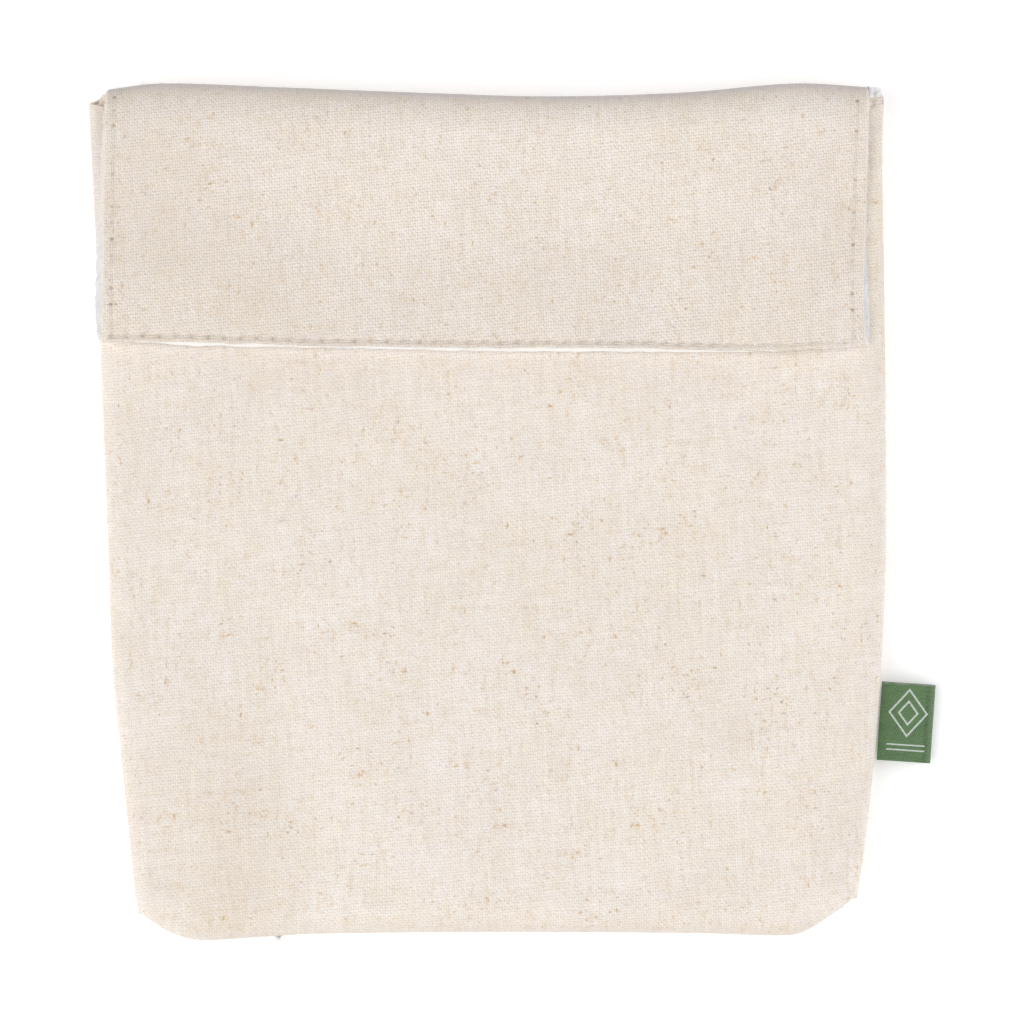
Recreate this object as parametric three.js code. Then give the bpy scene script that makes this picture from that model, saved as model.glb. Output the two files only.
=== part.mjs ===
// A small insulated pouch of natural canvas, empty and closed, lying on its back.
// Millimetres, +Z up, +Y towards the fold at the top of the bag, +X to the right as the front is seen.
// The origin is on the table, under the middle of the bag and its label.
import * as THREE from 'three';

// Thicknesses and clearances
const WALL = 2.4; // canvas with its foam, sewn and handled as one wall
const LINING = 1; // white lining under the flap
const GAP = 0.3; // between neighbouring pieces

// Heights above the table
const SEAM_HEIGHT = 4; // side and bottom seams, where the front and back walls meet
const CROWN_HEIGHT = 11; // outside of the front wall over the empty pocket
const MOUTH_HEIGHT = 9; // outside of the front wall at its mouth, pressed down by the fold
const FOLD_HEIGHT = 18; // outside of the flap where it leaves the top fold
const FLAP_LOW_HEIGHT = 15.6; // outside of the flap where it has come down on the front wall

// Rolled edges and the top fold
const SIDE_ROLL = 5.5; // width of the front wall's rounded side edges
const BOTTOM_ROLL = 8; // width of the front wall's rounded bottom edge
const BACK_ROLL = 5; // width of the back wall's turned-up edges
const FOLD_DEPTH = 9.5; // how far the top fold bulges past the flat back
const MOUTH_TURN = 43; // degrees round the fold at which the side seams end
const NARROW_TURN = 90; // degrees round the fold at which the sheet is down to the flap's width
const FLAP_TURN = 180; // degrees round the fold at which the flap begins
const MOUTH_EASE = 24; // length over which the front wall comes down to its mouth
const FLAP_FALL = 0.62; // share of the flap's depth over which it comes down from the fold
const FLAP_CURL = 0.5; // how far its lower edge then curls up again
const FLAP_SIDE_DROOP = 0.4; // how far the flap's side edges hang below its middle
const FLAP_DROOP_WIDTH = 12; // width of that droop
const FLAP_FOLDS_FROM = 0.5; // share of the flap's depth over which its droop and ridges grow in

// The lining's hidden end, inside the fold
const LINING_END_TURN = 115; // degrees round the fold

// The label: a folded ribbon caught in the right side seam
const LABEL_REACH = 12.6; // out of the seam
const LABEL_HEIGHT = 18.4; // along the seam
const LABEL_LAYER = 1;
const LABEL_SPACE = 0.5; // between its two layers
const LABEL_Y = -48.7; // middle of the label along the bag
const LABEL_TURN = -4; // degrees, seen from above
const LABEL_DROOP = 2; // fall from the seam to the folded end
const LABEL_DROOP_POWER = 1.4;
const LABEL_SEAT = 0.45; // from the seam to the ribbon's cut ends

// Steps of the sheets
const ROLL_STEPS = 4;
const ACROSS_STEPS = 20;
const FRONT_STEPS = 21;
const BACK_STEPS = 19;
const MOUTH_STEPS = 5;
const FOLD_STEPS = 9;
const FLAP_STEPS = 7;
const LINING_FOLD_STEPS = 5;
const LABEL_STEPS = 6;

const QUARTER = Math.PI / 2;

// Side edges of the bag at a few heights along it
const SIDE_EDGES = [
  { y: -94, left: -87.1, right: 79.4 },
  { y: -88, left: -88.1, right: 80.9 },
  { y: -65, left: -90.4, right: 83.9 },
  { y: -37, left: -93.2, right: 86.2 },
  { y: -10, left: -94.2, right: 87.3 },
  { y: 20, left: -95.4, right: 87.3 },
  { y: 55, left: -96.8, right: 86.9 },
  { y: 83, left: -98.2, right: 86.5 },
  { y: 97, left: -98.9, right: 86.9 },
];

// Bottom edge, with the slanting boxed corners at both ends
const BOTTOM_EDGE = [
  { x: -87.2, y: -93.5 },
  { x: -81.3, y: -97.2 },
  { x: -77, y: -99.2 },
  { x: -72, y: -100 },
  { x: -61, y: -99.4 },
  { x: -45, y: -98.5 },
  { x: 0, y: -98.1 },
  { x: 45, y: -98.4 },
  { x: 63, y: -98.9 },
  { x: 68.3, y: -98.2 },
  { x: 75.7, y: -93.6 },
  { x: 80.2, y: -89.6 },
];

// Mouth edge of the front wall, highest at the side seams
const MOUTH_EDGE = [
  { x: -98.9, y: 95.2 },
  { x: -94, y: 94.2 },
  { x: -86, y: 92.4 },
  { x: 0, y: 91 },
  { x: 76, y: 92.4 },
  { x: 83, y: 94.1 },
  { x: 86.9, y: 95.6 },
];

// Outermost line of the top fold, with its two shallow humps and the dip between them
const FOLD_LINE = [
  { x: -95, y: 98.5 },
  { x: -82, y: 100 },
  { x: -54, y: 99.1 },
  { x: -20, y: 97.8 },
  { x: 9, y: 97 },
  { x: 40, y: 97.9 },
  { x: 66, y: 100 },
  { x: 84, y: 99.1 },
];

// Side edges of the flap
const FLAP_EDGES = [
  { y: 38, left: -95.7, right: 82.6 },
  { y: 50, left: -95.5, right: 82 },
  { y: 73, left: -95.2, right: 82.5 },
  { y: 98, left: -94.7, right: 83.2 },
];

// Lower edge of the flap, a little askew
const FLAP_LOWER_EDGE = [
  { x: -96, y: 40.3 },
  { x: -35, y: 39.3 },
  { x: 83, y: 38.4 },
];

// How far the lining stands out past the flap at its sides and along its lower edge
const LINING_SIDES = [
  { y: 38, left: 0.9, right: 0.9 },
  { y: 45, left: 1.6, right: 1.4 },
  { y: 56, left: 1.3, right: 1.3 },
  { y: 72, left: 0.5, right: 0.6 },
  { y: 88, left: 0.3, right: 0.5 },
  { y: 96, left: 0.3, right: 2.6 },
];
const LINING_LOWER = [
  { x: -96, reach: 0.2 },
  { x: -80, reach: 0.6 },
  { x: 20, reach: 0.9 },
  { x: 60, reach: 0.6 },
  { x: 83, reach: 0.2 },
];

// Soft ridges (height above 0) and troughs, each turned from the bag's length by turn degrees
const FRONT_FOLDS = [
  { x: -51, y: -78, turn: 2, length: 34, width: 10, height: -0.9 },
  { x: -76, y: -70, turn: 4, length: 38, width: 11, height: 0.4 },
  { x: -29, y: -76, turn: 3, length: 34, width: 14, height: 0.4 },
  { x: -40, y: 4, turn: -62, length: 34, width: 12, height: -0.5 },
  { x: 24, y: -40, turn: -70, length: 46, width: 26, height: 0.4 },
  { x: 63, y: -76, turn: -15, length: 26, width: 10, height: 0.5 },
];
const FLAP_FOLDS = [
  { x: -54, y: 74, turn: -63, length: 46, width: 13, height: -0.6 },
  { x: -94, y: 44, turn: -63, length: 42, width: 22, height: 0.9 },
  { x: 10, y: 78, turn: 76, length: 52, width: 12, height: 0.4 },
  { x: 44, y: 56, turn: -40, length: 22, width: 9, height: 0.4 },
  { x: 74, y: 66, turn: -8, length: 26, width: 9, height: -0.3 },
];

function mix(from, to, share) {
  return from + (to - from) * share;
}

function ease(share) {
  const kept = THREE.MathUtils.clamp(share, 0, 1);
  return kept * kept * (3 - 2 * kept);
}

// Smooth value of a table's column between its rows, level beyond its two ends
function along(table, key, column, at) {
  const last = table.length - 1;
  if (at <= table[0][key]) return table[0][column];
  if (at >= table[last][key]) return table[last][column];
  const row = table.findIndex((entry) => entry[key] > at) - 1;
  const slope = (index) => {
    const before = table[Math.max(index - 1, 0)];
    const after = table[Math.min(index + 1, last)];
    return (after[column] - before[column]) / (after[key] - before[key]);
  };
  const span = table[row + 1][key] - table[row][key];
  const share = (at - table[row][key]) / span;
  const rest = 1 - share;
  const start = (1 + 2 * share) * rest * rest * table[row][column] + share * rest * rest * span * slope(row);
  const end = share * share * (3 - 2 * share) * table[row + 1][column];
  return start + end - share * share * rest * span * slope(row + 1);
}

// Height that a table of ridges and troughs gives a place on the cloth
function foldHeight(folds, x, y) {
  let height = 0;
  for (const fold of folds) {
    const turn = THREE.MathUtils.degToRad(fold.turn);
    const lengthwise = (y - fold.y) * Math.cos(turn) + (x - fold.x) * Math.sin(turn);
    const crosswise = (x - fold.x) * Math.cos(turn) - (y - fold.y) * Math.sin(turn);
    height += fold.height * Math.exp(-((lengthwise / fold.length) ** 2) - (crosswise / fold.width) ** 2);
  }
  return height;
}

// Places across a sheet: a rolled left edge, even steps, a rolled right edge
function placesAcross() {
  const places = [];
  for (let step = 0; step <= ROLL_STEPS; step += 1) {
    places.push({ side: 'left', turn: (step / ROLL_STEPS) * QUARTER });
  }
  for (let step = 1; step < ACROSS_STEPS; step += 1) {
    places.push({ side: 'middle', share: step / ACROSS_STEPS, turn: QUARTER });
  }
  for (let step = ROLL_STEPS; step >= 0; step -= 1) {
    places.push({ side: 'right', turn: (step / ROLL_STEPS) * QUARTER });
  }
  return places;
}

const ACROSS = placesAcross();

// Where a place across lies between two side edges; inset is how far in the sheet's face starts
function xAt(place, left, right, roll, inset) {
  if (place.side === 'middle') return mix(left + roll, right - roll, place.share);
  const inwards = inset + (roll - inset) * (1 - Math.cos(place.turn));
  return place.side === 'left' ? left + inwards : right - inwards;
}

function bagX(place, y, roll, inset) {
  const left = along(SIDE_EDGES, 'y', 'left', y);
  const right = along(SIDE_EDGES, 'y', 'right', y);
  return xAt(place, left, right, roll, inset);
}

function bottomY(place) {
  const first = BOTTOM_EDGE[0];
  const last = BOTTOM_EDGE[BOTTOM_EDGE.length - 1];
  return along(BOTTOM_EDGE, 'x', 'y', xAt(place, first.x, last.x, SIDE_ROLL, 0));
}

// Middle line of the top fold, where the back leaves the table
function foldStart(x) {
  return along(FOLD_LINE, 'x', 'y', x) - FOLD_DEPTH;
}

// Point of a face of the fold: inwards is how far that face lies inside the canvas's outer face
function foldPoint(x, turn, inwards) {
  const depth = FOLD_DEPTH - inwards;
  const half = FOLD_HEIGHT / 2 - inwards;
  return { y: foldStart(x) + depth * Math.sin(turn), z: inwards + half * (1 - Math.cos(turn)) };
}

// Turn at which a face of the fold is as far along the bag as the outer face is at the given turn
function innerTurn(turn, inwards) {
  return Math.asin(Math.min((FOLD_DEPTH * Math.sin(turn)) / (FOLD_DEPTH - inwards), 1));
}

// How far the start of the top fold has lifted the cloth at a place near the mouth
function foldRise(x, y) {
  const share = THREE.MathUtils.clamp((y - foldStart(x)) / FOLD_DEPTH, 0, 1);
  return (FOLD_HEIGHT / 2) * (1 - Math.sqrt(1 - share * share));
}

// Outside of the flap, above the table
function flapHeight(x, y) {
  const start = foldStart(x);
  const share = Math.max((start - y) / (start - along(FLAP_LOWER_EDGE, 'x', 'y', x)), 0);
  const left = along(FLAP_EDGES, 'y', 'left', y);
  const right = along(FLAP_EDGES, 'y', 'right', y);
  const fromSide = Math.max(Math.min(x - left, right - x), 0);
  const droop = FLAP_SIDE_DROOP * (1 - ease(fromSide / FLAP_DROOP_WIDTH));
  const fall = (FOLD_HEIGHT - FLAP_LOW_HEIGHT) * ease(share / FLAP_FALL);
  const curl = FLAP_CURL * ease((share - FLAP_FALL) / (1 - FLAP_FALL));
  const folds = ease(share / FLAP_FOLDS_FROM) * (foldHeight(FLAP_FOLDS, x, y) - droop);
  return FOLD_HEIGHT - fall + curl + folds;
}

// Closed solid between two grids of points that face away from each other
function sheetBetween(outer, inner, name, material) {
  const rows = outer.length;
  const columns = outer[0].length;
  const positions = [...outer.flat(), ...inner.flat()].flatMap((point) => [point.x, point.y, point.z]);
  const outerAt = (row, column) => row * columns + column;
  const innerAt = (row, column) => rows * columns + outerAt(row, column);
  const triangles = [];
  const quad = (a, b, c, d) => triangles.push(a, b, c, a, c, d);
  for (let row = 0; row + 1 < rows; row += 1) {
    for (let column = 0; column + 1 < columns; column += 1) {
      const next = column + 1;
      quad(outerAt(row, column), outerAt(row, next), outerAt(row + 1, next), outerAt(row + 1, column));
      quad(innerAt(row, column), innerAt(row + 1, column), innerAt(row + 1, next), innerAt(row, next));
    }
  }
  const top = rows - 1;
  const right = columns - 1;
  for (let column = 0; column < right; column += 1) {
    const next = column + 1;
    quad(outerAt(0, next), outerAt(0, column), innerAt(0, column), innerAt(0, next));
    quad(outerAt(top, column), outerAt(top, next), innerAt(top, next), innerAt(top, column));
  }
  for (let row = 0; row < top; row += 1) {
    const next = row + 1;
    quad(outerAt(row, 0), outerAt(next, 0), innerAt(next, 0), innerAt(row, 0));
    quad(outerAt(next, right), outerAt(row, right), innerAt(row, right), innerAt(next, right));
  }
  const geometry = new THREE.BufferGeometry();
  geometry.setAttribute('position', new THREE.Float32BufferAttribute(positions, 3));
  geometry.setIndex(triangles);
  geometry.computeVertexNormals();
  const mesh = new THREE.Mesh(geometry, material);
  mesh.name = name;
  return mesh;
}

// Front wall

function frontPoint(row, place, inwards) {
  const start = bottomY(place);
  const mouthX = bagX(place, MOUTH_EDGE[0].y, SIDE_ROLL, 0);
  const mouth = along(MOUTH_EDGE, 'x', 'y', mouthX);
  const rolled = start + inwards + (BOTTOM_ROLL - inwards) * (1 - Math.cos(row.turn));
  const y = row.rolled ? rolled : mix(start + BOTTOM_ROLL, mouth, row.share);
  const x = bagX(place, y, SIDE_ROLL, inwards);
  const swell = Math.sin(place.turn) * Math.sin(row.turn);
  const crown = mix(MOUTH_HEIGHT, CROWN_HEIGHT, ease((mouth - y) / MOUTH_EASE));
  const rim = SEAM_HEIGHT + GAP / 2;
  const rise = crown + foldHeight(FRONT_FOLDS, x, y) - inwards - rim;
  return new THREE.Vector3(x, y, foldRise(x, y) + rim + rise * swell);
}

function frontPanel(material) {
  const rows = [];
  for (let step = 0; step <= ROLL_STEPS; step += 1) {
    rows.push({ rolled: true, turn: (step / ROLL_STEPS) * QUARTER });
  }
  for (let step = 1; step <= FRONT_STEPS; step += 1) {
    rows.push({ rolled: false, turn: QUARTER, share: step / FRONT_STEPS });
  }
  const outer = rows.map((row) => ACROSS.map((place) => frontPoint(row, place, 0)));
  const inner = rows.map((row) => ACROSS.map((place) => frontPoint(row, place, WALL)));
  return sheetBetween(outer, inner, 'front_panel', material);
}

// Back wall, top fold and flap, one length of cloth

function backRows() {
  const rows = [];
  for (let step = 0; step <= ROLL_STEPS; step += 1) {
    rows.push({ part: 'roll', turn: (step / ROLL_STEPS) * QUARTER });
  }
  for (let step = 1; step <= BACK_STEPS; step += 1) {
    rows.push({ part: 'flat', share: step / BACK_STEPS });
  }
  for (let step = 1; step <= MOUTH_STEPS; step += 1) {
    rows.push({ part: 'mouth', turn: (step / MOUTH_STEPS) * MOUTH_TURN });
  }
  for (let step = 1; step <= FOLD_STEPS; step += 1) {
    rows.push({ part: 'fold', turn: mix(MOUTH_TURN, FLAP_TURN, step / FOLD_STEPS) });
  }
  for (let step = 1; step <= FLAP_STEPS; step += 1) {
    rows.push({ part: 'flap', share: step / FLAP_STEPS });
  }
  return rows;
}

// Turned-up edge: lifts the faces of the back wall to its seam, where both are at one height
function raised(base, floor, swell) {
  return mix(floor + SEAM_HEIGHT - GAP / 2, base, swell);
}

function backWallPoint(row, place, inwards) {
  const start = bottomY(place);
  const across = Math.sin(place.turn);
  if (row.part === 'mouth') {
    const turn = THREE.MathUtils.degToRad(row.turn);
    const near = bagX(place, FOLD_LINE[0].y, BACK_ROLL, inwards);
    const outside = foldPoint(near, turn, 0);
    const face = foldPoint(near, innerTurn(turn, inwards), inwards);
    const x = bagX(place, outside.y, BACK_ROLL, inwards);
    return new THREE.Vector3(x, outside.y, raised(face.z, outside.z, across));
  }
  const lengthwise = row.part === 'roll' ? Math.sin(row.turn) : 1;
  const rolled = start + inwards + (BACK_ROLL - inwards) * (1 - Math.cos(row.turn));
  const end = foldStart(bagX(place, FOLD_LINE[0].y, BACK_ROLL, inwards));
  const y = row.part === 'roll' ? rolled : mix(start + BACK_ROLL, end, row.share);
  const x = bagX(place, y, BACK_ROLL, inwards);
  return new THREE.Vector3(x, y, raised(inwards, 0, across * lengthwise));
}

function foldedPoint(row, place, inwards) {
  const share = (row.turn - MOUTH_TURN) / (FLAP_TURN - MOUTH_TURN);
  const narrowing = THREE.MathUtils.clamp((row.turn - MOUTH_TURN) / (NARROW_TURN - MOUTH_TURN), 0, 1);
  const mouthTurn = THREE.MathUtils.degToRad(MOUTH_TURN);
  const turn = mix(innerTurn(mouthTurn, inwards), THREE.MathUtils.degToRad(FLAP_TURN), share);
  const edge = FOLD_LINE[0].y;
  const bag = bagX(place, edge, BACK_ROLL, inwards);
  const flap = flapX(place, edge);
  const x = mix(bag, flap, Math.sqrt(narrowing));
  const face = foldPoint(x, turn, inwards);
  const outside = foldPoint(x, THREE.MathUtils.degToRad(row.turn), 0);
  const swell = mix(Math.sin(place.turn), 1, ease(narrowing));
  return new THREE.Vector3(x, face.y, raised(face.z, outside.z, swell));
}

function flapX(place, y) {
  const left = along(FLAP_EDGES, 'y', 'left', y);
  const right = along(FLAP_EDGES, 'y', 'right', y);
  return xAt(place, left, right, BACK_ROLL, 0);
}

function flapPoint(row, place, inwards) {
  const near = flapX(place, FLAP_EDGES[0].y);
  const y = mix(foldStart(near), along(FLAP_LOWER_EDGE, 'x', 'y', near), row.share);
  const x = flapX(place, y);
  return new THREE.Vector3(x, y, flapHeight(x, y) - inwards);
}

function backPanel(material) {
  const rows = backRows();
  const pointOn = (row, place, inwards) => {
    if (row.part === 'flap') return flapPoint(row, place, inwards);
    if (row.part === 'fold') return foldedPoint(row, place, inwards);
    return backWallPoint(row, place, inwards);
  };
  const face = (inwards) => rows.map((row) => ACROSS.map((place) => pointOn(row, place, inwards)));
  return sheetBetween(face(WALL), face(0), 'back_panel', material);
}

// White lining under the flap and round the inside of the fold

// Where a place across the lining lies, a little past the flap's side edges
function liningX(place, y) {
  const left = along(FLAP_EDGES, 'y', 'left', y) - along(LINING_SIDES, 'y', 'left', y);
  const right = along(FLAP_EDGES, 'y', 'right', y) + along(LINING_SIDES, 'y', 'right', y);
  return xAt(place, left, right, BACK_ROLL, 0);
}

function liningPoint(row, place, inwards) {
  const turn = THREE.MathUtils.degToRad(row.turn);
  if (row.part === 'fold') {
    const near = flapX(place, FOLD_LINE[0].y);
    const x = liningX(place, foldPoint(near, turn, inwards).y);
    const face = foldPoint(x, turn, inwards);
    return new THREE.Vector3(x, face.y, face.z);
  }
  const near = flapX(place, FLAP_EDGES[0].y);
  const end = along(FLAP_LOWER_EDGE, 'x', 'y', near) - along(LINING_LOWER, 'x', 'reach', near);
  const y = mix(foldStart(near), end, row.share);
  const x = liningX(place, y);
  return new THREE.Vector3(x, y, flapHeight(x, y) - inwards);
}

function flapLining(material) {
  const rows = [];
  for (let step = 0; step <= LINING_FOLD_STEPS; step += 1) {
    rows.push({ part: 'fold', turn: mix(LINING_END_TURN, FLAP_TURN, step / LINING_FOLD_STEPS) });
  }
  for (let step = 1; step <= FLAP_STEPS; step += 1) {
    rows.push({ part: 'flap', share: step / FLAP_STEPS });
  }
  const face = (inwards) => rows.map((row) => ACROSS.map((place) => liningPoint(row, place, inwards)));
  return sheetBetween(face(WALL + GAP + LINING), face(WALL + GAP), 'flap_lining', material);
}

// Label: one ribbon folded back on itself, its cut ends at the seam

function sideLabel(material) {
  const bend = LABEL_LAYER + LABEL_SPACE / 2;
  const straight = LABEL_REACH - bend;
  const droop = (out) => -LABEL_DROOP * (out / LABEL_REACH) ** LABEL_DROOP_POWER;
  const layer = (height) => {
    const points = [];
    for (let step = 0; step <= LABEL_STEPS; step += 1) {
      const out = (straight * step) / LABEL_STEPS;
      points.push(new THREE.Vector2(out, height + droop(out)));
    }
    return points;
  };
  const roundEnd = (radius) => {
    const points = [];
    for (let step = 1; step < LABEL_STEPS; step += 1) {
      const turn = -QUARTER + (Math.PI * step) / LABEL_STEPS;
      const out = straight + radius * Math.cos(turn);
      points.push(new THREE.Vector2(out, radius * Math.sin(turn) + droop(out)));
    }
    return points;
  };
  const outside = [...layer(-bend), ...roundEnd(bend), ...layer(bend).reverse()];
  const slot = LABEL_SPACE / 2;
  const inside = [...layer(slot), ...roundEnd(slot).reverse(), ...layer(-slot).reverse()];
  const section = new THREE.Shape([...outside, ...inside]);
  const geometry = new THREE.ExtrudeGeometry(section, { depth: LABEL_HEIGHT, bevelEnabled: false });
  geometry.translate(0, 0, -LABEL_HEIGHT / 2);
  geometry.rotateX(QUARTER);
  const mesh = new THREE.Mesh(geometry, material);
  mesh.name = 'side_label';
  mesh.position.set(along(SIDE_EDGES, 'y', 'right', LABEL_Y) + LABEL_SEAT, LABEL_Y, SEAM_HEIGHT);
  mesh.rotation.z = THREE.MathUtils.degToRad(LABEL_TURN);
  return mesh;
}

const canvas = new THREE.MeshStandardMaterial({ color: 0xeadfd2, roughness: 0.95, metalness: 0 });
const white = new THREE.MeshStandardMaterial({ color: 0xeceaf0, roughness: 0.45, metalness: 0 });
const green = new THREE.MeshStandardMaterial({ color: 0x4b7846, roughness: 0.55, metalness: 0 });

const bag = new THREE.Group();
bag.add(frontPanel(canvas));
bag.add(backPanel(canvas.clone()));
bag.add(flapLining(white));
bag.add(sideLabel(green));

export default bag;
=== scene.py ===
# %% [markdown]
# # A small canvas cooler bag, lying on its back
#
# The bag is an empty insulated pouch of natural canvas. Its back wall rolls over at the top and comes
# down the front as a stitched flap, with a white lining that peeks out along the flap's edges.
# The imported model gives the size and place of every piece. This lesson makes each piece again as a finer
# sheet on the same folds, and gives it cloth that holds up in a close view.

# %% Load the frame
import math

import bpy
import numpy as np
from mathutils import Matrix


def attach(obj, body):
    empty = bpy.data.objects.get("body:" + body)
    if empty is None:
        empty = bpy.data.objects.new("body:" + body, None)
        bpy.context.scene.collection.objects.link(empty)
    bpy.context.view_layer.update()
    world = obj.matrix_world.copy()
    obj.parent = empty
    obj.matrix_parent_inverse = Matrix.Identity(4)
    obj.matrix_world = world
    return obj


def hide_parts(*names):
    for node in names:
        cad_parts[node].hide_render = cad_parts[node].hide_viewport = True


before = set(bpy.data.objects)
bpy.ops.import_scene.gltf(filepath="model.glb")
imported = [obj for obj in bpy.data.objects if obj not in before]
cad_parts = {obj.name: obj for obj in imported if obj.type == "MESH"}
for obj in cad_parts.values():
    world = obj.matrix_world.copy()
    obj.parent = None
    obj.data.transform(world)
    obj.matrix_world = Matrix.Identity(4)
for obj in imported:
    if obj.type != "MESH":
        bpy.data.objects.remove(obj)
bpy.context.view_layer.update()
MM = 0.001  # sizes below are in millimetres, and Blender's unit is the metre


# %% [markdown]
# ## Camera
#
# The bag is seen face on, so the camera looks straight down. A long lens far away keeps the raised flap
# and the seams near the table at nearly the same scale, as in a product picture. The lens and the width
# of table in the picture fix the camera's height, so neither has to be found by trial.

# %% Place the camera
PICTURE_WIDTH = 239.0  # of the table, across the picture
PICTURE_PLANE = 8.0  # height at which that width holds
LENS = 600.0
SENSOR = 36.0

camera_data = bpy.data.cameras.new("camera")
camera_data.lens = LENS
camera_data.sensor_width = SENSOR
camera = bpy.data.objects.new("camera", camera_data)
camera.location = (0, 0, (PICTURE_PLANE + PICTURE_WIDTH * LENS / SENSOR) * MM)
bpy.context.scene.collection.objects.link(camera)
bpy.context.scene.camera = camera
print("camera height in m:", round(camera.location.z, 3))

# %% [markdown]
# ## Small helpers for materials
#
# A material is a tree of nodes. A few helpers keep the trees readable: they add a node, feed a socket with
# a link or a plain value, do arithmetic, fade a value from 0 to 1, and mix. With them a line of Python
# reads like the formula that it stands for.

# %% Node helpers
MIX_SOCKETS = {"RGBA": (0, 6, 7, 2), "FLOAT": (0, 2, 3, 0)}  # share, first, second and result of a Mix node


def add_node(tree, kind, **settings):
    node = tree.nodes.new("ShaderNode" + kind)
    for name, value in settings.items():
        setattr(node, name, value)
    return node


def feed(tree, socket, value):
    if isinstance(value, bpy.types.NodeSocket):
        tree.links.new(value, socket)
    else:
        socket.default_value = value


def calc(tree, operation, *values):
    node = add_node(tree, "Math", operation=operation)
    for socket, value in zip(node.inputs, values):
        feed(tree, socket, value)
    return node.outputs[0]


def centred(tree, value, depth):
    """A noise or share from 0 to 1, as a swing about zero."""
    return calc(tree, "MULTIPLY", calc(tree, "SUBTRACT", value, 0.5), depth)


def fade(tree, value, start, end):
    node = add_node(tree, "MapRange", interpolation_type="SMOOTHSTEP")
    for socket, given in zip(node.inputs, (value, start, end)):
        feed(tree, socket, given)
    return node.outputs[0]


def mix_node(tree, kind, share, first, second, blend="MIX"):
    node = add_node(tree, "Mix", data_type=kind, blend_type=blend)
    *inputs, result = MIX_SOCKETS[kind]
    for number, value in zip(inputs, (share, first, second)):
        feed(tree, node.inputs[number], value)
    return node.outputs[result]


def mix_colour(tree, share, first, second, blend="MIX"):
    return mix_node(tree, "RGBA", share, first, second, blend)


def new_material(name, roughness):
    material = bpy.data.materials.new(name)
    material.use_nodes = True
    shader = material.node_tree.nodes["Principled BSDF"]
    shader.inputs["Roughness"].default_value = roughness
    return material, material.node_tree, shader


print("node helpers ready")

# %% [markdown]
# ## Node groups
#
# An effect that several materials use is made once, as a node group with named inputs and outputs. One
# helper makes an empty group with its sockets, and another places a finished group in a material.

# %% Group helpers
def new_group(name, inputs, outputs):
    group = bpy.data.node_groups.new(name, "ShaderNodeTree")
    for title, value in inputs.items():
        kind = "NodeSocketVector" if value is None else "NodeSocketFloat"
        socket = group.interface.new_socket(title, in_out="INPUT", socket_type=kind)
        if value is not None:
            socket.default_value = value
    for title in outputs:
        group.interface.new_socket(title, in_out="OUTPUT", socket_type="NodeSocketFloat")
    entry = group.nodes.new("NodeGroupInput")
    leave = group.nodes.new("NodeGroupOutput")
    return group, entry.outputs, leave.inputs


def place_group(tree, group, **values):
    node = add_node(tree, "Group", node_tree=group)
    for title, value in values.items():
        feed(tree, node.inputs[title.replace("_", " ").capitalize()], value)
    return node.outputs


print("group helpers ready")

# %% [markdown]
# ## Soft mottling
#
# No cloth, film or floor is one even tone: dye, dust and handling leave soft patches. This group is one
# noise, sized in the material's own lengths, that swings about zero. Each material adds a little of it.

# %% Mottle group
MOTTLE_DETAIL = 2.0

mottle, entry, leave = new_group("Soft mottle", {"Place": None, "Size": 10.0, "Depth": 1.0}, ["Tone"])
patches = add_node(mottle, "TexNoise")
patches.inputs["Detail"].default_value = MOTTLE_DETAIL
feed(mottle, patches.inputs["Vector"], entry["Place"])
feed(mottle, patches.inputs["Scale"], calc(mottle, "DIVIDE", 1.0, entry["Size"]))
feed(mottle, leave["Tone"], centred(mottle, patches.outputs["Fac"], entry["Depth"]))


def mottling(tree, place, size, depth=1.0):
    return place_group(tree, mottle, place=place, size=size, depth=depth)["Tone"]


print("group:", mottle.name)

# %% [markdown]
# ## Floor and light
#
# The floor is a plain pale board, lit a little from beneath like a light table, so the shadows on it stay
# pale. Two wide, soft lights stand to the left and the right, like a pair of softboxes beside a copy
# stand, and an even sky fills the rest. They keep both side seams bright, while the top fold, which faces
# neither, falls off to grey. A sun lamp with a very wide angle acts like a large softbox and lights the
# whole floor evenly.

# %% Floor
FLOOR_SIZE = 3.0  # metres
FLOOR_DROP = 0.1  # below the bag, so that the two surfaces never share a plane
FLOOR_COLOUR = (0.97, 0.97, 0.97, 1)
FLOOR_GREY = (0.955, 0.955, 0.96, 1)
FLOOR_PATCH = 0.06  # metres
FLOOR_SWING = 0.2  # swing of the mottling that runs from one colour to the other
FLOOR_GLOW = 0.22

bpy.ops.mesh.primitive_plane_add(size=FLOOR_SIZE, location=(0, 0, -FLOOR_DROP * MM))
floor = bpy.context.object
floor.name = "floor"
board, tree, shader = new_material("pale_board", roughness=0.9)
patches = mottling(tree, add_node(tree, "TexCoord").outputs["Object"], FLOOR_PATCH)
grey_share = fade(tree, patches, -FLOOR_SWING, FLOOR_SWING)
feed(tree, shader.inputs["Base Color"], mix_colour(tree, grey_share, FLOOR_COLOUR, FLOOR_GREY))
shader.inputs["Emission Color"].default_value = FLOOR_COLOUR
shader.inputs["Emission Strength"].default_value = FLOOR_GLOW
floor.data.materials.append(board)
print("floor:", FLOOR_SIZE, "m wide")

# %% Light
LIGHTS = {  # tilt from straight down, turn from the lower edge towards the right, and strength
    "left_softbox": (51.0, -70.0, 1.85),
    "right_softbox": (55.0, 86.0, 1.47),
}
LIGHT_WIDTH = 70.0  # degrees that each light fills
SKY = {"Color": (0.97, 0.98, 1.0, 1), "Strength": 0.43}

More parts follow.
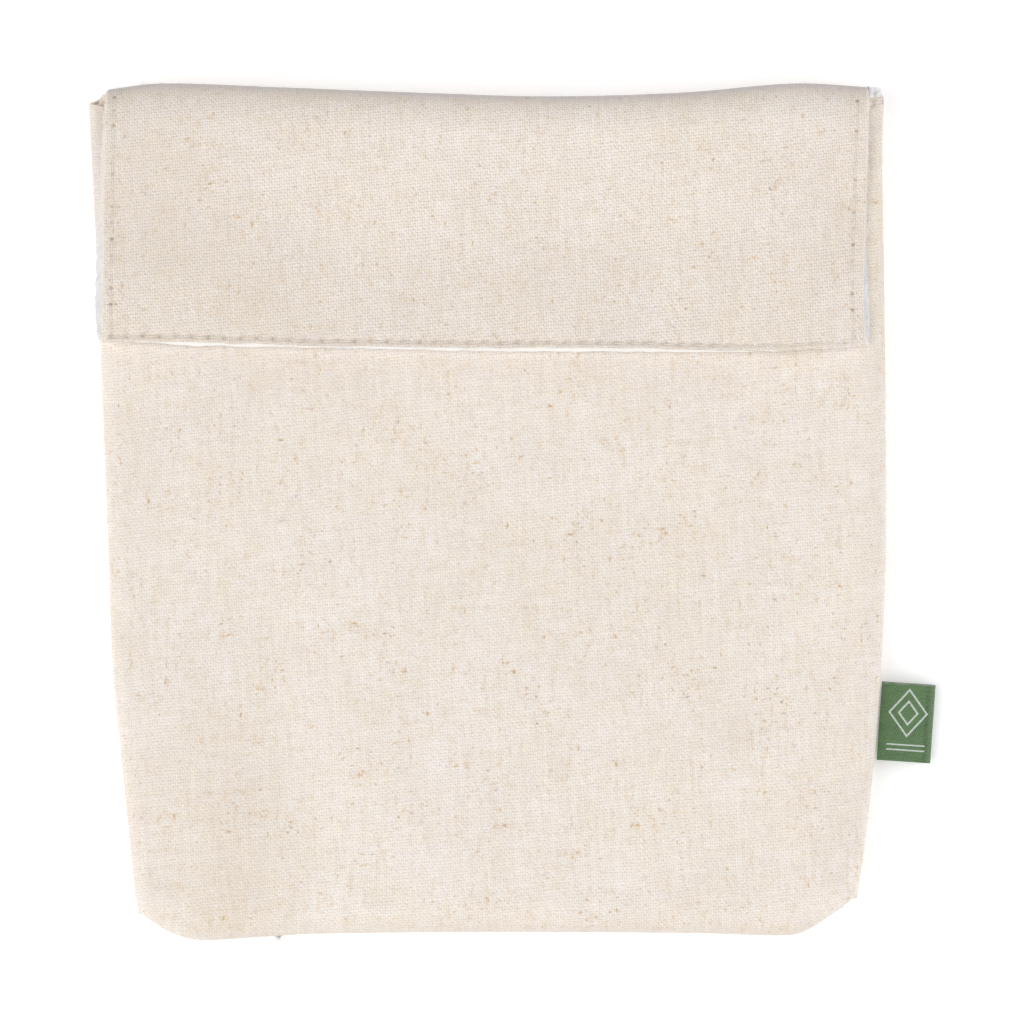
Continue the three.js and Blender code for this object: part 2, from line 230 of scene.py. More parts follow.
for title, (tilt, turn, strength) in LIGHTS.items():
    lamp_data = bpy.data.lights.new(title, "SUN")
    lamp_data.energy = strength
    lamp_data.angle = math.radians(LIGHT_WIDTH)
    lamp = bpy.data.objects.new(title, lamp_data)
    lamp.rotation_euler = (math.radians(tilt), 0, math.radians(turn))
    bpy.context.scene.collection.objects.link(lamp)

sky = bpy.data.worlds.new("sky")
sky.use_nodes = True
for title, value in SKY.items():
    sky.node_tree.nodes["Background"].inputs[title].default_value = value
bpy.context.scene.world = sky
bpy.context.scene.view_settings.view_transform = "Standard"
print("lights:", sorted(LIGHTS))

# %% [markdown]
# ## Tables and curves
#
# The outline of a limp bag is not drawn with straight lines. A few measured rows fix each edge, and a
# smooth curve runs through them. The same curve formula made the imported solids, so the finer sheets here
# lie on the same edges. Soft ridges and troughs are bell-shaped bumps, each placed one by one.

# %% Curve helpers
QUARTER = math.pi / 2
CRUMPLE_REACH = (0.6, 1.6)  # shortest and longest wave beside the given size


def table(columns, *rows):
    return dict(zip(columns.split(), np.array(rows, float).T))


def along(rows, key_column, column, at):
    """Smooth value of a column between the rows, level beyond the two ends."""
    keys, values = rows[key_column], rows[column]
    at = np.clip(at, keys[0], keys[-1])
    before = np.maximum(np.arange(keys.size) - 1, 0)
    after = np.minimum(np.arange(keys.size) + 1, keys.size - 1)
    slopes = (values[after] - values[before]) / (keys[after] - keys[before])
    row = np.clip(np.searchsorted(keys, at, side="right") - 1, 0, keys.size - 2)
    span = keys[row + 1] - keys[row]
    share = (at - keys[row]) / span
    rest = 1 - share
    start = (1 + 2 * share) * rest**2 * values[row] + share * rest**2 * span * slopes[row]
    end = share**2 * (3 - 2 * share) * values[row + 1] - share**2 * rest * span * slopes[row + 1]
    return start + end


def sides_at(edges, y):
    """Left and right value of a table of sides, some way up the bag."""
    return along(edges, "y", "left", y), along(edges, "y", "right", y)


def mix(first, second, share):
    return first + (second - first) * share


def ease(share):
    kept = np.clip(share, 0, 1)
    return kept * kept * (3 - 2 * kept)


def bell(distance):
    return np.exp(-(distance**2))


def fold_height(folds, x, y):
    """Height of a table's ridges and troughs, each turned from the bag's length by turn degrees."""
    height = np.zeros(np.broadcast(x, y).shape)
    for fold_x, fold_y, turn, length, width, rise in zip(*folds.values()):
        cosine, sine = math.cos(math.radians(turn)), math.sin(math.radians(turn))
        lengthwise = (y - fold_y) * cosine + (x - fold_x) * sine
        crosswise = (x - fold_x) * cosine - (y - fold_y) * sine
        height += rise * np.exp(-((lengthwise / length) ** 2) - (crosswise / width) ** 2)
    return height


def crumple(x, y, size, waves, seed):
    """Soft random unevenness, about 1 high: many faint waves that run in all directions."""
    random = np.random.default_rng(seed)
    height = np.zeros(np.broadcast(x, y).shape)
    for _ in range(waves):
        turn, start = random.uniform(0, 2 * math.pi, 2)
        reach = size * random.uniform(*CRUMPLE_REACH)
        height += np.sin((x * math.cos(turn) + y * math.sin(turn)) * 2 * math.pi / reach + start)
    return height / math.sqrt(waves / 2)


print("curve helpers ready")

# %% [markdown]
# ## Outline of the bag
#
# These rows are the bag's side edges, its bottom edge with the slanting boxed corners, the mouth of the
# front wall, the line of the top fold, and the flap's edges. All are in millimetres from the middle.

# %% Outline tables
SIDE_EDGES = table(
    "y left right",
    (-94, -87.1, 79.4),
    (-88, -88.1, 80.9),
    (-65, -90.4, 83.9),
    (-37, -93.2, 86.2),
    (-10, -94.2, 87.3),
    (20, -95.4, 87.3),
    (55, -96.8, 86.9),
    (83, -98.2, 86.5),
    (97, -98.9, 86.9),
)
BOTTOM_EDGE = table(
    "x y",
    (-87.2, -93.5),
    (-81.3, -97.2),
    (-77, -99.2),
    (-72, -100),
    (-61, -99.4),
    (-45, -98.5),
    (0, -98.1),
    (45, -98.4),
    (63, -98.9),
    (68.3, -98.2),
    (75.7, -93.6),
    (80.2, -89.6),
)
MOUTH_EDGE = table(
    "x y",
    (-98.9, 95.2),
    (-94, 94.2),
    (-86, 92.4),
    (0, 91),
    (76, 92.4),
    (83, 94.1),
    (86.9, 95.6),
)
FOLD_LINE = table(
    "x y",
    (-95, 98.5),
    (-82, 100),
    (-54, 99.1),
    (-20, 97.8),
    (9, 97),
    (40, 97.9),
    (66, 100),
    (84, 99.1),
)
FLAP_EDGES = table(
    "y left right",
    (38, -95.7, 82.6),
    (50, -95.5, 82),
    (73, -95.2, 82.5),
    (98, -94.7, 83.2),
)
FLAP_LOWER_EDGE = table(
    "x y",
    (-96, 39.7),
    (-80, 39.7),
    (-58, 39.1),
    (-35, 38.6),
    (0, 38.2),
    (22, 38.2),
    (48, 37.7),
    (62, 37.7),
    (76, 38.1),
    (83, 38.6),
)
print("outline rows:", SIDE_EDGES["y"].size + BOTTOM_EDGE["x"].size + FOLD_LINE["x"].size)

# %% [markdown]
# ## Ridges and troughs
#
# The empty bag isn't flat. A soft trough runs up from the bottom left, the pocket's air makes broad low
# swells, and the flap dips along a slant before its lower left corner lifts. Each row is one such fold.

# %% Fold tables
FRONT_FOLDS = table(
    "x y turn length width height",
    (-51, -78, 2, 34, 10, -0.9),
    (-76, -70, 4, 38, 11, 0.4),
    (-29, -76, 3, 34, 14, 0.4),
    (-40, 4, -62, 34, 12, -0.5),
    (24, -40, -70, 46, 26, 0.4),
    (63, -76, -15, 26, 10, 0.5),
)
FLAP_FOLDS = table(
    "x y turn length width height",
    (-54, 74, -63, 46, 13, -0.6),
    (-94, 44, -63, 42, 22, 0.6),
    (10, 78, 76, 52, 12, 0.4),
    (44, 56, -40, 22, 9, 0.4),
    (74, 66, -8, 26, 9, -0.3),
)
print("folds:", FRONT_FOLDS["x"].size, "in front,", FLAP_FOLDS["x"].size, "on the flap")

# %% [markdown]
# ## How a sheet is made
#
# Every piece here is a length of cloth with two faces. A sheet is two grids of points, one for each face,
# joined round the rim, so the mesh is closed and has a real thickness. Each point also keeps its place in
# the flat cloth, in millimetres, as an attribute: the weave follows that, so it bends with the cloth.

# %% Mesh helper
SHARP_EDGE = math.radians(60)


def mesh_object(name, points, faces, marks, materials, face_materials=None, sharp_edge=SHARP_EDGE):
    """A piece whose points carry marks: named values that its material reads."""
    mesh = bpy.data.meshes.new(name)
    mesh.from_pydata((points * MM).tolist(), [], faces)
    for title, values in marks.items():
        kind, field = ("FLOAT_VECTOR", "vector") if values.ndim == 2 else ("FLOAT", "value")
        layer = mesh.attributes.new(title, kind, "POINT")
        layer.data.foreach_set(field, values.astype(np.float32).ravel())
    for material in materials:
        mesh.materials.append(material)
    if face_materials is not None:
        mesh.polygons.foreach_set("material_index", face_materials.astype(np.int32))
    mesh.shade_smooth()
    if sharp_edge is not None:
        mesh.set_sharp_from_angle(angle=sharp_edge)
    piece = bpy.data.objects.new(name, mesh)
    bpy.context.scene.collection.objects.link(piece)
    return piece


def triangles(piece):
    return sum(len(face.vertices) - 2 for face in piece.data.polygons)


print("edges sharper than", round(math.degrees(SHARP_EDGE)), "degrees stay sharp")

# %% Sheet helpers
RIM_MATERIAL = 0  # the rim takes a sheet's first material


def grid_quads(index):
    corners = [index[:-1, :-1], index[:-1, 1:], index[1:, 1:], index[1:, :-1]]
    return np.stack(corners, axis=-1).reshape(-1, 4)


def sheet_object(name, upper, lower, marks, materials, face_materials=(0, 0)):
    """Closed sheet between two grids; upper is the face that the grid's rows and columns turn towards."""
    rows, columns = upper.shape[:2]
    index = np.arange(rows * columns).reshape(rows, columns)
    count = index.size
    border = np.concatenate([index[0, :-1], index[:-1, -1], index[-1, :0:-1], index[:0:-1, 0]])
    following = np.roll(border, -1)
    rim = np.stack([border, border + count, following + count, following], axis=-1)
    skin = grid_quads(index)
    faces = np.concatenate([skin, (skin + count)[:, ::-1], rim])
    points = np.concatenate([upper.reshape(-1, 3), lower.reshape(-1, 3)])
    doubled = {
        title: np.concatenate([values.reshape(count, *values.shape[2:])] * 2)
        for title, values in marks.items()
    }
    kinds = np.repeat((*face_materials, RIM_MATERIAL), (len(skin), len(skin), len(rim)))
    return mesh_object(name, points, faces.tolist(), doubled, materials, kinds)


def joined(x, y, z):
    return np.stack(np.broadcast_arrays(x, y, z), axis=-1)


def lengths_along(points, axis):
    """Distance walked over the cloth along one direction of its grid, from the first point."""
    steps = np.linalg.norm(np.diff(points, axis=axis), axis=-1)
    start = np.zeros_like(np.take(steps, [0], axis=axis))
    return np.concatenate([start, np.cumsum(steps, axis=axis)], axis=axis)


def across_cloth(points):
    """Distance over the cloth from its middle column, counted on from that column's own x."""
    middle = points.shape[1] // 2
    walked = lengths_along(points, 1)
    return walked - walked[:, [middle]] + points[:, [middle], 0]


print("quads in a grid of 3 by 4 points:", len(grid_quads(np.arange(12).reshape(3, 4))))

# %% [markdown]
# ## Rolled seams
#
# The bag was sewn inside out and turned, so its front and back walls roll inwards where they meet. Across
# a wall, points stand close together round each roll and evenly between. The roll starts a little past
# its widest point, so the cloth tucks in at the seam and leaves a fine groove there.

# %% Rolled edges
TUCK = math.radians(25)  # how far past its widest point a roll turns in at the seam
TUCK_FADE = 3.0  # how soon the tuck is full beside a corner


def stations(roll_steps, middle_steps):
    """Places across a sheet: side is -1 on the left roll and 1 on the right one."""
    turns = np.linspace(-TUCK, QUARTER, roll_steps + 1)
    middle = np.linspace(0, 1, middle_steps + 1)[1:-1]
    return {
        "turn": np.concatenate([turns, np.full(middle.size, QUARTER), turns[::-1]]),
        "share": np.concatenate([np.zeros(turns.size), middle, np.ones(turns.size)]),
        "side": np.repeat((-1, 0, 1), (turns.size, middle.size, turns.size)),
    }


def swell(turn):
    """0 at the seam, 1 where the roll has become the flat wall."""
    return (np.sin(turn) + math.sin(TUCK)) / (1 + math.sin(TUCK))


def roll_in(turn, tucked=1.0):
    """How far a roll stands in from its widest line, as a share of its size; a tuck can be kept in part."""
    return (1 - np.cos(turn)) * np.where(turn < 0, tucked, 1)


def tuck_near(turn):
    """Two seams meet at a corner, and neither is tucked there: 0 at the other seam, 1 a little past it."""
    return np.minimum(TUCK_FADE * swell(turn), 1)


def x_across(places, left, right, roll, inset, tucked=1.0):
    inwards = inset + (roll - inset) * roll_in(places["turn"], tucked)
    x = mix(left + roll, right - roll, places["share"])
    x = np.where(places["side"] < 0, left + inwards, x)
    return np.where(places["side"] > 0, right - inwards, x)


def bag_x(places, y, roll, inset, tucked=1.0):
    return x_across(places, *sides_at(SIDE_EDGES, y), roll, inset, tucked)


print("places across a wall with 4 and 6 steps:", stations(4, 6)["turn"].size)

# %% [markdown]
# ## Uneven yarn
#
# Natural canvas is spun from uneven yarn. Along each thread the tone drifts, and here and there a bit of
# bark or coarse fibre shows as a tan fleck. This group reads a noise with a lane on one axis and the
# distance along the thread on the other. Whole thread numbers far apart give every thread marks of its
# own; a smooth count gives soft marks that spread over two or three threads.

# %% Yarn group
yarn, entry, leave = new_group("Uneven yarn", {"Lane": 0.0, "Along": 0.0, "Length": 2.0}, ["Tone"])
spot = add_node(yarn, "CombineXYZ")
feed(yarn, spot.inputs[0], entry["Lane"])
feed(yarn, spot.inputs[1], calc(yarn, "DIVIDE", entry["Along"], entry["Length"]))
drift = add_node(yarn, "TexNoise", noise_dimensions="2D")
feed(yarn, drift.inputs["Vector"], spot.outputs[0])
for title in ("Scale", "Detail"):
    drift.inputs[title].default_value = 1.0
feed(yarn, leave["Tone"], drift.outputs["Fac"])
print("group:", yarn.name)

# %% [markdown]
# ## Plain weave
#
# Canvas is a plain weave: each warp thread runs over one weft thread and under the next. No image is
# needed for that. Counting threads in the flat cloth gives a thread number and a place across each thread;
# cosines then give the height of both threads, and the higher one shows. The gaps between threads are
# darker, most of all at the corners where four of them meet, and a faint slant of painted shade runs from
# crossing to crossing, standing in for light that falls across the raised crossings. The threads run
# straight but are unevenly spaced, so the yarn noise shifts each of them a little. The group gives the
# thread counts, the visible thread's number, the distance along it, a painted slant shade, and a grain:
# each quarter of a crossing differs at random from the next, as fibres don't lie evenly.

# %% Thread counts of the weave group
weave, entry, leave = new_group(
    "Plain weave",
    {"Cloth": None, "Warp pitch": 1.0, "Weft pitch": 1.0, "Warp lean": 0.0, "Weft lean": 0.0, "Wobble": 0.2,
     "Gap": 0.2},
    ["Height", "Warp gap", "Weft gap", "Twist", "Warp", "Weft", "Thread", "Along", "Grain"],
)
WOBBLES = ((2.0, 14.0, 0.35), (24.0, 25.0, 1.2))  # threads across, mm along and share of the wobble
WOBBLE_LANE = 200.0  # keeps the noise of the warp away from that of the weft
parts = add_node(weave, "SeparateXYZ")
feed(weave, parts.inputs[0], entry["Cloth"])
cloth_x, cloth_y = parts.outputs[0], parts.outputs[1]


def thread_count(across, distance, lean, pitch, sign):
    """Position across one set of threads, in threads, with a lean and uneven spacing."""
    straight = calc(weave, "MULTIPLY", across, calc(weave, "COSINE", lean))
    slanted = calc(weave, "MULTIPLY", distance, calc(weave, "MULTIPLY", calc(weave, "SINE", lean), sign))
    even = count = calc(weave, "DIVIDE", calc(weave, "ADD", straight, slanted), pitch)
    for threads_across, length, share in WOBBLES:
        lane = calc(weave, "MULTIPLY_ADD", even, 1 / threads_across, WOBBLE_LANE * sign)
        swing = place_group(weave, yarn, lane=lane, along=distance, length=length)["Tone"]
        size = calc(weave, "MULTIPLY", entry["Wobble"], share)
        count = calc(weave, "MULTIPLY_ADD", calc(weave, "SUBTRACT", swing, 0.5), size, count)
    return count


warp = thread_count(cloth_x, cloth_y, entry["Warp lean"], entry["Warp pitch"], 1.0)
weft = thread_count(cloth_y, cloth_x, entry["Weft lean"], entry["Weft pitch"], -1.0)
feed(weave, leave["Warp"], warp)
feed(weave, leave["Weft"], weft)
warp_number, weft_number = [calc(weave, "FLOOR", count) for count in (warp, weft)]
across_warp, across_weft = [
    calc(weave, "SUBTRACT", calc(weave, "FRACT", count), 0.5)  # 0 on a thread's middle line
    for count in (warp, weft)
]
print("wobbles of a thread:", len(WOBBLES))

# %% Height, gaps, painted slant shade and grain of the weave group
WEFT_CROWN = 0.8  # height of the weft, whose threads are the tighter ones, beside the warp's
SECOND_SLANT = 0.3  # strength of the painted shade along the other diagonal
WEFT_LANES = 5000.0  # weft threads are numbered from here, so that no warp thread shares a number
GRAIN_SPREAD = math.sqrt(0.5)  # gives the difference of two dice the spread of one

odd = calc(weave, "FRACT", calc(weave, "MULTIPLY", calc(weave, "ADD", warp_number, weft_number), 0.5))
over = calc(weave, "SUBTRACT", 1.0, calc(weave, "MULTIPLY", odd, 4.0))  # 1 with the warp on top, else -1
warp_round, weft_round = [
    calc(weave, "COSINE", calc(weave, "MULTIPLY", place, math.pi)) for place in (across_warp, across_weft)
]
warp_height = calc(weave, "MULTIPLY", warp_round, calc(weave, "MULTIPLY_ADD", weft_round, over, 1.0))
weft_bend = calc(weave, "SUBTRACT", 1.0, calc(weave, "MULTIPLY", warp_round, over))
weft_height = calc(weave, "MULTIPLY", calc(weave, "MULTIPLY", weft_round, weft_bend), WEFT_CROWN)
height = calc(weave, "MULTIPLY", calc(weave, "MAXIMUM", warp_height, weft_height), 0.5)
feed(weave, leave["Height"], height)
warp_shows = calc(weave, "GREATER_THAN", warp_height, weft_height)
weft_lane = calc(weave, "ADD", weft_number, WEFT_LANES)
feed(weave, leave["Thread"], mix_node(weave, "FLOAT", warp_shows, weft_lane, warp_number))
feed(weave, leave["Along"], mix_node(weave, "FLOAT", warp_shows, cloth_x, cloth_y))
inner = calc(weave, "SUBTRACT", 0.5, entry["Gap"])
for way, place in (("Warp gap", across_warp), ("Weft gap", across_weft)):
    feed(weave, leave[way], fade(weave, calc(weave, "ABSOLUTE", place), inner, 0.5))
# painted shade in a slant from crossing to crossing, which stands in for light falling across the raised
# crossings
slants = [
    calc(weave, "SINE", calc(weave, "MULTIPLY", calc(weave, way, warp, weft), math.pi))
    for way in ("ADD", "SUBTRACT")
]
feed(weave, leave["Twist"], calc(weave, "MULTIPLY_ADD", slants[1], SECOND_SLANT, slants[0]))


def dice(step):
    """Random value for a quarter of a crossing, or for one some steps further along the warp."""
    quarter = add_node(weave, "CombineXYZ")
    for socket, count, moved in zip(quarter.inputs, (warp, weft), (0, step)):
        half_threads = calc(weave, "FLOOR", calc(weave, "MULTIPLY", count, 2.0))
        feed(weave, socket, calc(weave, "ADD", half_threads, moved))
    node = add_node(weave, "TexWhiteNoise", noise_dimensions="2D")
    feed(weave, node.inputs["Vector"], quarter.outputs[0])
    return node.outputs["Value"]


step_change = calc(weave, "SUBTRACT", dice(0), dice(1))
feed(weave, leave["Grain"], calc(weave, "MULTIPLY_ADD", step_change, GRAIN_SPREAD, 0.5))
print("group:", weave.name)

# %% [markdown]
# ## Canvas: threads and tone
#
# The canvas is cream. Its tone changes from spot to spot with the grain, along each thread with the slubs,
# over a few threads in faint streaks, and over wide soft patches. Every change of tone is added up first
# and turns into a colour once, between a pale and a deep thread. A second sum, of patches alone, says how
# warm the colour is. The points of each piece carry marks of their own: painted shade and painted light
# that stand in for the shading of folds and edges, and how far the cloth is pulled flat.

# %% Canvas threads
WARP_PITCH, WEFT_PITCH = 0.567, 0.71  # mm a thread
WARP_LEAN, WEFT_LEAN = math.radians(2.8), math.radians(4.9)
THREAD_WOBBLE = 1.3
THREAD_GAP = 0.24  # share of the pitch over which a thread darkens towards its gap
THREAD_STRIDE = 3.7  # keeps neighbouring threads far apart in the noise


def mark(tree, name, output="Fac"):
    """A value that the piece's own points carry; 0 on a piece without it."""
    return add_node(tree, "Attribute", attribute_name=name).outputs[output]


def split(tree, vector):
    node = add_node(tree, "SeparateXYZ")
    feed(tree, node.inputs[0], vector)
    return node.outputs


def total(tree, first, *others):
    for value in others:
        first = calc(tree, "ADD", first, value)
    return first


canvas, tree, shader = new_material("natural_canvas", roughness=0.92)
cloth = mark(tree, "cloth", "Vector")
openness = mark(tree, "openness")
cloth_x, cloth_y, _ = split(tree, cloth)
along_thread = {"Warp": cloth_y, "Weft": cloth_x}
threads = place_group(tree, weave, cloth=cloth, warp_pitch=WARP_PITCH, weft_pitch=WEFT_PITCH,
                      warp_lean=WARP_LEAN, weft_lean=WEFT_LEAN, wobble=THREAD_WOBBLE, gap=THREAD_GAP)


def yarn_noise(lane, distance, length, stride, place):
    """Noise along threads: a stride above 1 gives each whole lane its own, below 1 a shared one."""
    lane = calc(tree, "MULTIPLY_ADD", lane, stride, place)
    return place_group(tree, yarn, lane=lane, along=distance, length=length)["Tone"]


print("threads in 10 mm:", round(10 / WARP_PITCH), "by", round(10 / WEFT_PITCH))

# %% Canvas tone
PALE_THREAD = (0.931, 0.875, 0.856, 1)
DEEP_THREAD = (0.762, 0.690, 0.648, 1)
WARM_TINT = (1.0, 0.97, 0.84, 1)
GRAIN_DEPTH = 0.58  # tone from spot to spot
SLUB_DEPTH, SLUB_LENGTH = 0.42, 5.0  # tone along one thread
STREAKS = (  # threads that carry them, threads across, length in mm and depth of tone
    ("Warp", 1, 12.0, 0.42),
    ("Warp", 2.4, 9.0, 0.36),
    ("Weft", 2.3, 7.0, 0.32),
)
STREAK_PLACE = 17.3  # moves each kind of streak to its own part of the noise
PATCHES = {2.8: 0.34, 14.0: 0.38, 40.0: 0.4}  # size of the soft patches in mm, and their depth of tone
WARM_PATCHES = {2.2: 1.0, 7.0: 0.5, 28.0: 0.65}  # size of the warmer patches in mm, and their depth
# depth of the painted slant shade across the weave
SLANT_SHADE_DEPTH = 0.15
OPEN_SLANT_SHADE_DEPTH = 0.07  # added where the cloth is pulled flat
MIDDLE = 0.5  # half-way between the two threads' colours

slub = yarn_noise(threads["Thread"], threads["Along"], SLUB_LENGTH, THREAD_STRIDE, 0.0)
streaks = []
for way, across, length, depth in STREAKS:
    alone = across == 1  # each thread has a tone of its own
    lane = calc(tree, "FLOOR", threads[way]) if alone else threads[way]
    stride = THREAD_STRIDE if alone else 1 / across
    streak = yarn_noise(lane, along_thread[way], length, stride, STREAK_PLACE * across)
    streaks.append(centred(tree, streak, depth))
# painted slant shade, deeper where the cloth is pulled flat
slant_shade_depth = calc(tree, "MULTIPLY_ADD", openness, OPEN_SLANT_SHADE_DEPTH, SLANT_SHADE_DEPTH)
tone = total(
    tree,
    centred(tree, threads["Grain"], GRAIN_DEPTH),
    centred(tree, slub, SLUB_DEPTH),
    *streaks,
    *[mottling(tree, cloth, size, depth) for size, depth in PATCHES.items()],
    calc(tree, "MULTIPLY", threads["Twist"], slant_shade_depth),
    # the piece's painted shade and painted light, carried by its points
    mark(tree, "tone_and_painted_shade"),
    MIDDLE,
)
colour = mix_colour(tree, tone, PALE_THREAD, DEEP_THREAD)
warmth = [mottling(tree, cloth, size, depth) for size, depth in WARM_PATCHES.items()]
warmth = total(tree, *warmth, mark(tree, "warmth"), MIDDLE)
colour = mix_colour(tree, warmth, colour, WARM_TINT, blend="MULTIPLY")
print("soft patches:", len(PATCHES), "and streaks:", len(STREAKS))

# %% [markdown]
# ## Canvas: flecks, hem and gaps
#
# Bits of bark show as tan flecks with a brown core, and a few as grey ones. They gather in places, so a
# soft mottling helps to decide where the yarn noise is strong enough for one. Along the stitches the hem
# is painted a shade deeper, as painted shade in the groove that the thread pulls down, and the top fold is
# painted greyer towards its edge, as painted shade where it turns away from the light. The gaps between
# threads go on last, because they cut through whatever colour the threads have; each opens and closes
# along its length.

# %% Flecks, painted hem shade and painted fold grey
FLECK_TAN = (0.64, 0.43, 0.22, 1)
FLECK_BROWN = (0.40, 0.24, 0.12, 1)
FLECK_GREY = (0.46, 0.40, 0.34, 1)
FLECK_DARK = (0.22, 0.18, 0.15, 1)
# painted shade along the stitch groove of the hem
HEM_PAINTED_SHADE = (0.56, 0.47, 0.41, 1)
# painted grey shade on the top fold, where it turns away from the light
PAINTED_RIM_GREY = (0.60, 0.63, 0.80, 1)
FLECKS = (  # threads that they run with, threads across, length in mm, start, strength, colour and core
    ("Warp", 2.1, 2.0, 0.695, 0.9, FLECK_TAN, FLECK_BROWN),
    ("Weft", 1.9, 2.4, 0.70, 0.87, FLECK_TAN, FLECK_BROWN),
    ("Weft", 1.6, 1.6, 0.705, 0.8, FLECK_GREY, FLECK_DARK),
    ("Warp", 2.8, 3.0, 0.57, 0.21, FLECK_TAN, FLECK_TAN),
)
FLECK_PLACE = 61.7  # moves each kind of fleck to its own part of the noise
FLECK_FADE = 0.26
FLECK_CORE = (0.5, 1.2)  # strength of a fleck at which its core starts, and would be full
CLUMP_SIZE, CLUMP_DEPTH = 11.0, 0.3  # of the places where flecks gather

clump = mottling(tree, cloth, CLUMP_SIZE, CLUMP_DEPTH)
for number, (way, across, length, start, strength, fleck_rim, fleck_core) in enumerate(FLECKS, 1):
    marks = yarn_noise(threads[way], along_thread[way], length, 1 / across, FLECK_PLACE * number)
    fleck = fade(tree, calc(tree, "ADD", marks, clump), start, start + FLECK_FADE)
    fleck_colour = mix_colour(tree, fade(tree, fleck, *FLECK_CORE), fleck_rim, fleck_core)
    colour = mix_colour(tree, calc(tree, "MULTIPLY", fleck, strength), colour, fleck_colour)
# painted shade along the hem's stitch groove
colour = mix_colour(tree, mark(tree, "hem_painted_light_and_shade"), colour, HEM_PAINTED_SHADE)
# painted grey shade towards the top fold's edge
colour = mix_colour(tree, mark(tree, "rim"), colour, PAINTED_RIM_GREY, blend="MULTIPLY")
print("kinds of fleck:", len(FLECKS))

# %% Gaps between the threads
PORE_TAN = (0.40, 0.33, 0.265, 1)
GAP_DEPTHS = {  # share of tan in a gap, and how much is added where the cloth is pulled flat
    "Warp": (0.155, 0.075),
    "Weft": (0.172, 0.075),
    "corner": (0.13, 0.05),
}
GAP_LENGTH = 0.8  # mm over which one gap opens and closes again
GAP_LEAST = 0.4  # strength of a closed gap beside the usual one
GAP_SWING = (0.25, 0.75)  # values of the noise at which a gap is closed, and open
GAP_PLACES = {"Warp": 400.0, "Weft": 900.0}  # parts of the noise that decide it


def uneven_gap(way):
    """The gap beside each thread, which opens and closes along its length."""
    between = calc(tree, "ROUND", threads[way])
    change = yarn_noise(between, along_thread[way], GAP_LENGTH, THREAD_STRIDE, GAP_PLACES[way])
    opened = fade(tree, change, *GAP_SWING)
    strength = calc(tree, "MULTIPLY_ADD", opened, 2 - 2 * GAP_LEAST, GAP_LEAST)
    return calc(tree, "MULTIPLY", threads[way + " gap"], strength)


gaps = {way: uneven_gap(way) for way in GAP_PLACES}
gaps["corner"] = calc(tree, "MULTIPLY", gaps["Warp"], gaps["Weft"])
gap_shares = [
    calc(tree, "MULTIPLY", gaps[kind], calc(tree, "MULTIPLY_ADD", openness, opened, depth))
    for kind, (depth, opened) in GAP_DEPTHS.items()
]
colour = mix_colour(tree, total(tree, *gap_shares), colour, PORE_TAN)
print("gaps:", sorted(gaps))

# %% [markdown]
# ## Canvas: needle holes and relief
#
# The needle leaves a hole at both ends of each stitch, and each hole is painted brown, as painted shade
# in its dimple. A point near the stitches knows how far along and how far beside the row it lies, so a
# ping-pong of the distance along finds the nearest hole. A random number for each hole makes some stronger
# than others. A Bump node turns the weave and the holes into fine relief; whatever is large enough to show
# from the side is modelled instead.

# %% Needle holes and relief
STITCH_PITCH = 3.8
# painted shade in the needle holes
HOLE_SHADE_BROWN = (0.40, 0.29, 0.20, 1)
HOLE_RADIUS = 0.42
HOLE_BLUR = (1.8, 0.2)  # radius at which a hole begins and is deepest, beside its own
HOLE_UNEVEN = 1.5  # a higher power leaves fewer strong holes
HOLE_SHARE = 0.55  # of brown in the strongest hole
HOLE_DEPTH = 2.0  # beside the height of the weave
WEAVE_RELIEF = 0.09  # mm from pore to crown
CANVAS_FINISH = {"Sheen Weight": 0.08, "Specular IOR Level": 0.2}


def add_relief(tree, shader, height, distance, strength=1.0):
    """Fine relief of the given distance in mm."""
    bump = add_node(tree, "Bump")
    bump.inputs["Strength"].default_value = strength
    bump.inputs["Distance"].default_value = distance * MM
    feed(tree, bump.inputs["Height"], height)
    feed(tree, shader.inputs["Normal"], bump.outputs[0])


along_row, beside_row, stitched_share = split(tree, mark(tree, "stitch_line", "Vector"))
stitch_count = calc(tree, "DIVIDE", along_row, STITCH_PITCH)
to_hole = calc(tree, "MULTIPLY", calc(tree, "PINGPONG", stitch_count, 0.5), STITCH_PITCH)
squares = [calc(tree, "POWER", distance, 2.0) for distance in (to_hole, beside_row)]
reach = calc(tree, "SQRT", calc(tree, "ADD", *squares))
luck = add_node(tree, "TexWhiteNoise", noise_dimensions="1D")
feed(tree, luck.inputs["W"], calc(tree, "ROUND", stitch_count))
strength = calc(tree, "MULTIPLY", calc(tree, "POWER", luck.outputs["Value"], HOLE_UNEVEN), stitched_share)
hole = calc(tree, "MULTIPLY", fade(tree, reach, *[HOLE_RADIUS * blur for blur in HOLE_BLUR]), strength)
# painted shade in each needle hole
colour = mix_colour(tree, calc(tree, "MULTIPLY", hole, HOLE_SHARE), colour, HOLE_SHADE_BROWN)
feed(tree, shader.inputs["Base Color"], colour)
relief = calc(tree, "SUBTRACT", threads["Height"], calc(tree, "MULTIPLY", hole, HOLE_DEPTH))
add_relief(tree, shader, relief, WEAVE_RELIEF, strength=0.6)
for title, value in CANVAS_FINISH.items():
    shader.inputs[title].default_value = value
print("material:", canvas.name)

# %% [markdown]
# ## Lining
#
# The lining is a white film on a fine backing, a little waxy, with small crinkles where the edge was
# turned. Along its lower edge it is painted brighter and creamier, a painted highlight on an edge that lies
# in the flap's shade, and its upper sides are tinted warmer. It reuses the weave at a much smaller pitch
# for its backing and the mottling for crinkles.

# %% Lining material
LINING_WHITE = (0.89, 0.88, 0.88, 1)
LINING_SHADE = (0.80, 0.785, 0.795, 1)
